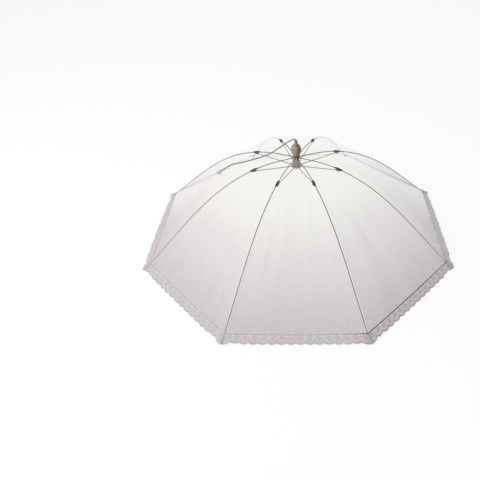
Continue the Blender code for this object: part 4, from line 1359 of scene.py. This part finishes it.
def pick_faces(piece, chosen):
    """Only the faces whose centre and normal pass are selected."""
    bpy.ops.mesh.select_mode(type="FACE")
    bpy.ops.mesh.select_all(action="DESELECT")
    shape = bmesh.from_edit_mesh(piece.data)
    for face in shape.faces:
        face.select_set(chosen(face.calc_center_median(), face.normal))
    bmesh.update_edit_mesh(piece.data)


def below_middle(centre, normal, in_slot):
    """Whether a face looks down from the clip's middle, in the slot between the ears or beside it."""
    looks_down = normal.z < -SQUARE_ON and abs(centre.x) < EAR_LENGTH / 4
    return looks_down and (abs(centre.y) < SLOT_WIDTH / 2) == in_slot


def drawn_out(move, size, place):
    """The selected faces drawn out by a move, and resized about a place."""
    bpy.ops.mesh.extrude_region_move(TRANSFORM_OT_translate={"value": move})
    bpy.ops.transform.resize(value=size, center_override=place)


bpy.ops.object.select_all(action="DESELECT")
bpy.ops.mesh.primitive_cube_add(size=1, scale=(CLIP_MIDDLE, CLIP_WIDTH, 2 * CLIP_HALF_HEIGHT))
clip = bpy.context.object
bpy.ops.object.transform_apply(location=True, rotation=True, scale=True)
bpy.ops.object.mode_set(mode="EDIT")
for side in (-1, 1):
    bpy.ops.mesh.select_all(action="SELECT")
    bpy.ops.mesh.bisect(plane_co=(0, side * SLOT_WIDTH / 2, 0), plane_no=(0, 1, 0))
for side in (-1, 1):
    pick_faces(clip, lambda centre, normal: normal.x * side > SQUARE_ON)
    end = side * CLIP_MIDDLE / 2
    for reach, width, height in CLIP_TAPERS:
        end += side * reach
        drawn_out((side * reach, 0, 0), (1, width, height), (end, 0, 0))
pick_faces(clip, lambda centre, normal: below_middle(centre, normal, in_slot=False))
drawn_out((0, 0, EAR_FLOOR + CLIP_HALF_HEIGHT), (EAR_LENGTH / CLIP_MIDDLE, 1, 1), (0, 0, EAR_FLOOR))
pick_faces(clip, lambda centre, normal: below_middle(centre, normal, in_slot=True))
bpy.ops.mesh.extrude_region_move(TRANSFORM_OT_translate={"value": (0, 0, POCKET)})
rounded(closed_up(clip), CLIP_EDGE)
print("clip faces without its pin", len(clip.data.polygons))

# %% The clips' pins, and a clip on every rib
PIN_BELOW_RIB = 0.0032
PIN_PAST_CLIP = 0.0005
PIN_RADIUS = 0.0011
PIN_ROUND = 0.0008
PIN_ROUND_DEPTH = 0.0002
PIN_NECK = 0.0006
PIN_HEAD = 0.0009
PIN_SIDES = 14

pin_end = CLIP_WIDTH / 2 + PIN_PAST_CLIP
pin_half = [
    (PIN_ROUND, -pin_end), (PIN_RADIUS, PIN_ROUND_DEPTH - pin_end),
    (PIN_RADIUS, PIN_HEAD - pin_end), (PIN_NECK, PIN_HEAD - pin_end),
]
pin_stops = pin_half + [(radius, -height) for radius, height in pin_half[::-1]]
pin = turned("pin", pin_stops, PIN_SIDES, solid=True)
pin.data.transform(Matrix.Translation((0, 0, -PIN_BELOW_RIB)) @ Matrix.Rotation(math.pi / 2, 4, "X"))
alone(clip)
pin.select_set(True)
bpy.ops.object.join()
on_rib = Matrix.Translation(rib_place(JOINT_ALONG_RIB)) @ Matrix.Rotation(rib_slope(JOINT_ALONG_RIB), 4, "Y")


def one_for_each_rib(pattern, name, place, material, slot, node_name):
    """A copy of the pattern on every rib, each with its own mesh. The pattern itself is then removed."""
    for i in range(RIB_COUNT):
        mesh = pattern.data.copy()
        mesh.transform(rib_frame(i) @ place)
        copy = bpy.data.objects.new(f"{name}_{i + 1}", mesh)
        bpy.context.collection.objects.link(copy)
        stands_for(copy, material, f"rib_{i + 1}", slot, f"{node_name}_{i + 1}")
    bpy.data.objects.remove(pattern, do_unlink=True)


print("clip faces", len(clip.data.polygons))
one_for_each_rib(clip, "strut_clip", on_rib, black, "black_plastic", "rib_joint")

# %% [markdown]
# The caps on the ribs' ends
# A soft black cap covers the cut end of each rib, and the cover stands on these eight caps. Each is a
# sleeve that swells to a ball, with a small flat where it meets the table. The flat could be left to the
# eye, but it is cut with a bisect at the table's height, so that all eight stand on it exactly.

# %% The caps on the ribs' ends
CAP_SLEEVE = 0.009
CAP_SIDES = 20
CAP_SMOOTH_BELOW = math.radians(40)
CAP_STOPS = (
    (0.0013, 0.0000), (0.0017, 0.0002), (0.0018, 0.0006), (0.0018, 0.0064), (0.0019, 0.0074),
    (0.0021, 0.0083), (0.0022, 0.0091), (0.0021, 0.0099), (0.0016, 0.0107), (0.0008, 0.0111),
    (0.0002, 0.0112),
)
cap = turned("cap", CAP_STOPS, CAP_SIDES, solid=True)
cap_start = rib_place(RIB_LENGTH_TO_HEM + TIP_BALL_PAST_HEM - CAP_SLEEVE)
cap.data.transform(Matrix.Translation(cap_start) @ Matrix.Rotation(math.pi / 2 + RIB_SLOPE_AT_HEM, 4, "Y"))
alone(cap)
bpy.ops.object.mode_set(mode="EDIT")
bpy.ops.mesh.select_all(action="SELECT")
bpy.ops.mesh.bisect(plane_co=(0, 0, -PIVOT_HEIGHT), plane_no=(0, 0, 1), use_fill=True, clear_inner=True)
closed_up(cap)
bpy.ops.object.shade_smooth_by_angle(angle=CAP_SMOOTH_BELOW)
print("cap faces", len(cap.data.polygons))
one_for_each_rib(cap, "rib_cap", Matrix.Identity(4), black, "black_plastic", "rib_tip")

# %% [markdown]
# Nodes that stay
# The crown holds the ribs' eyes, the washer clamps the net, and the cord runs on inside the hub to its
# knot. They could be modelled again, but they have the right shape in the frame and hardly show, so they
# stay and only get their finishes.

# %% Nodes that stay
staying = {"rib_crown": olive, "net_washer": beige, "cord_inner": cord_finish, "cord_knot": cord_finish}
for name, material in staying.items():
    paint(nodes[name], material)
print("nodes painted", len(staying))

# %% [markdown]
# Floor and light
# The photograph has no visible floor, only white. A white world alone would lose the cover's shadow, so a
# plain pale floor keeps it, and the camera sees the floor mixed with plain white, so that it ends nowhere.
# The world lights evenly, and one large soft lamp from the left gives the knob its light and shaded sides.

# %% Floor and light
FLOOR_SIZE = 12
FLOOR_GREY = 0.93
FLOOR_WHITE_SHARE = 0.80
WORLD_LIGHT = 0.68
LAMP_SIZE = 1.2
LAMP_POWER = 22
LAMP_PLACE = (-1.3, -0.7, 1.5)
LAMP_AIM = (0, 0, 0.2)
WHITE = (1, 1, 1, 1)


def seen_directly(tree):
    """1 for rays that the camera, a mirror or glass sends out, and 0 for the light that falls on things."""
    path = tree.nodes.new("ShaderNodeLightPath")
    direct = path.outputs["Is Camera Ray"]
    for kind in ("Is Glossy Ray", "Is Transmission Ray"):
        direct = node(tree, "Math", {0: direct, 1: path.outputs[kind]}, operation="MAXIMUM")
    return direct


bpy.ops.object.select_all(action="DESELECT")
bpy.ops.mesh.primitive_plane_add(size=FLOOR_SIZE)
floor = bpy.context.object
floor.name = "floor"
floor_finish = bpy.data.materials.new("floor")
floor_finish.use_nodes = True
tree = floor_finish.node_tree
tree.nodes.clear()
diffuse = node(tree, "BsdfDiffuse", {"Color": (FLOOR_GREY, FLOOR_GREY, FLOOR_GREY, 1)})
white = node(tree, "Emission", {"Color": WHITE})
share = multiplied(tree, seen_directly(tree), FLOOR_WHITE_SHARE)
node(tree, "OutputMaterial", {"Surface": node(tree, "MixShader", {0: share, 1: diffuse, 2: white})})
paint(floor, floor_finish)
print("floor", FLOOR_SIZE, "metres wide")

# %% World and lamp
world = bpy.data.worlds.new("studio")
bpy.context.scene.world = world
world.use_nodes = True
tree = world.node_tree
tree.nodes.clear()
strength = fitted(tree, seen_directly(tree), 0, 1, WORLD_LIGHT, 1, smooth=False)
background = node(tree, "Background", {"Color": WHITE, "Strength": strength})
node(tree, "OutputWorld", {"Surface": background})

lamp_data = bpy.data.lights.new("soft_lamp", "AREA")
lamp_data.shape = "DISK"
lamp_data.size = LAMP_SIZE
lamp_data.energy = LAMP_POWER
lamp = bpy.data.objects.new("soft_lamp", lamp_data)
bpy.context.collection.objects.link(lamp)
lamp.location = LAMP_PLACE
lamp.rotation_euler = (Vector(LAMP_AIM) - lamp.location).to_track_quat("-Z", "Y").to_euler()
print("world light", WORLD_LIGHT, "lamp", LAMP_POWER)
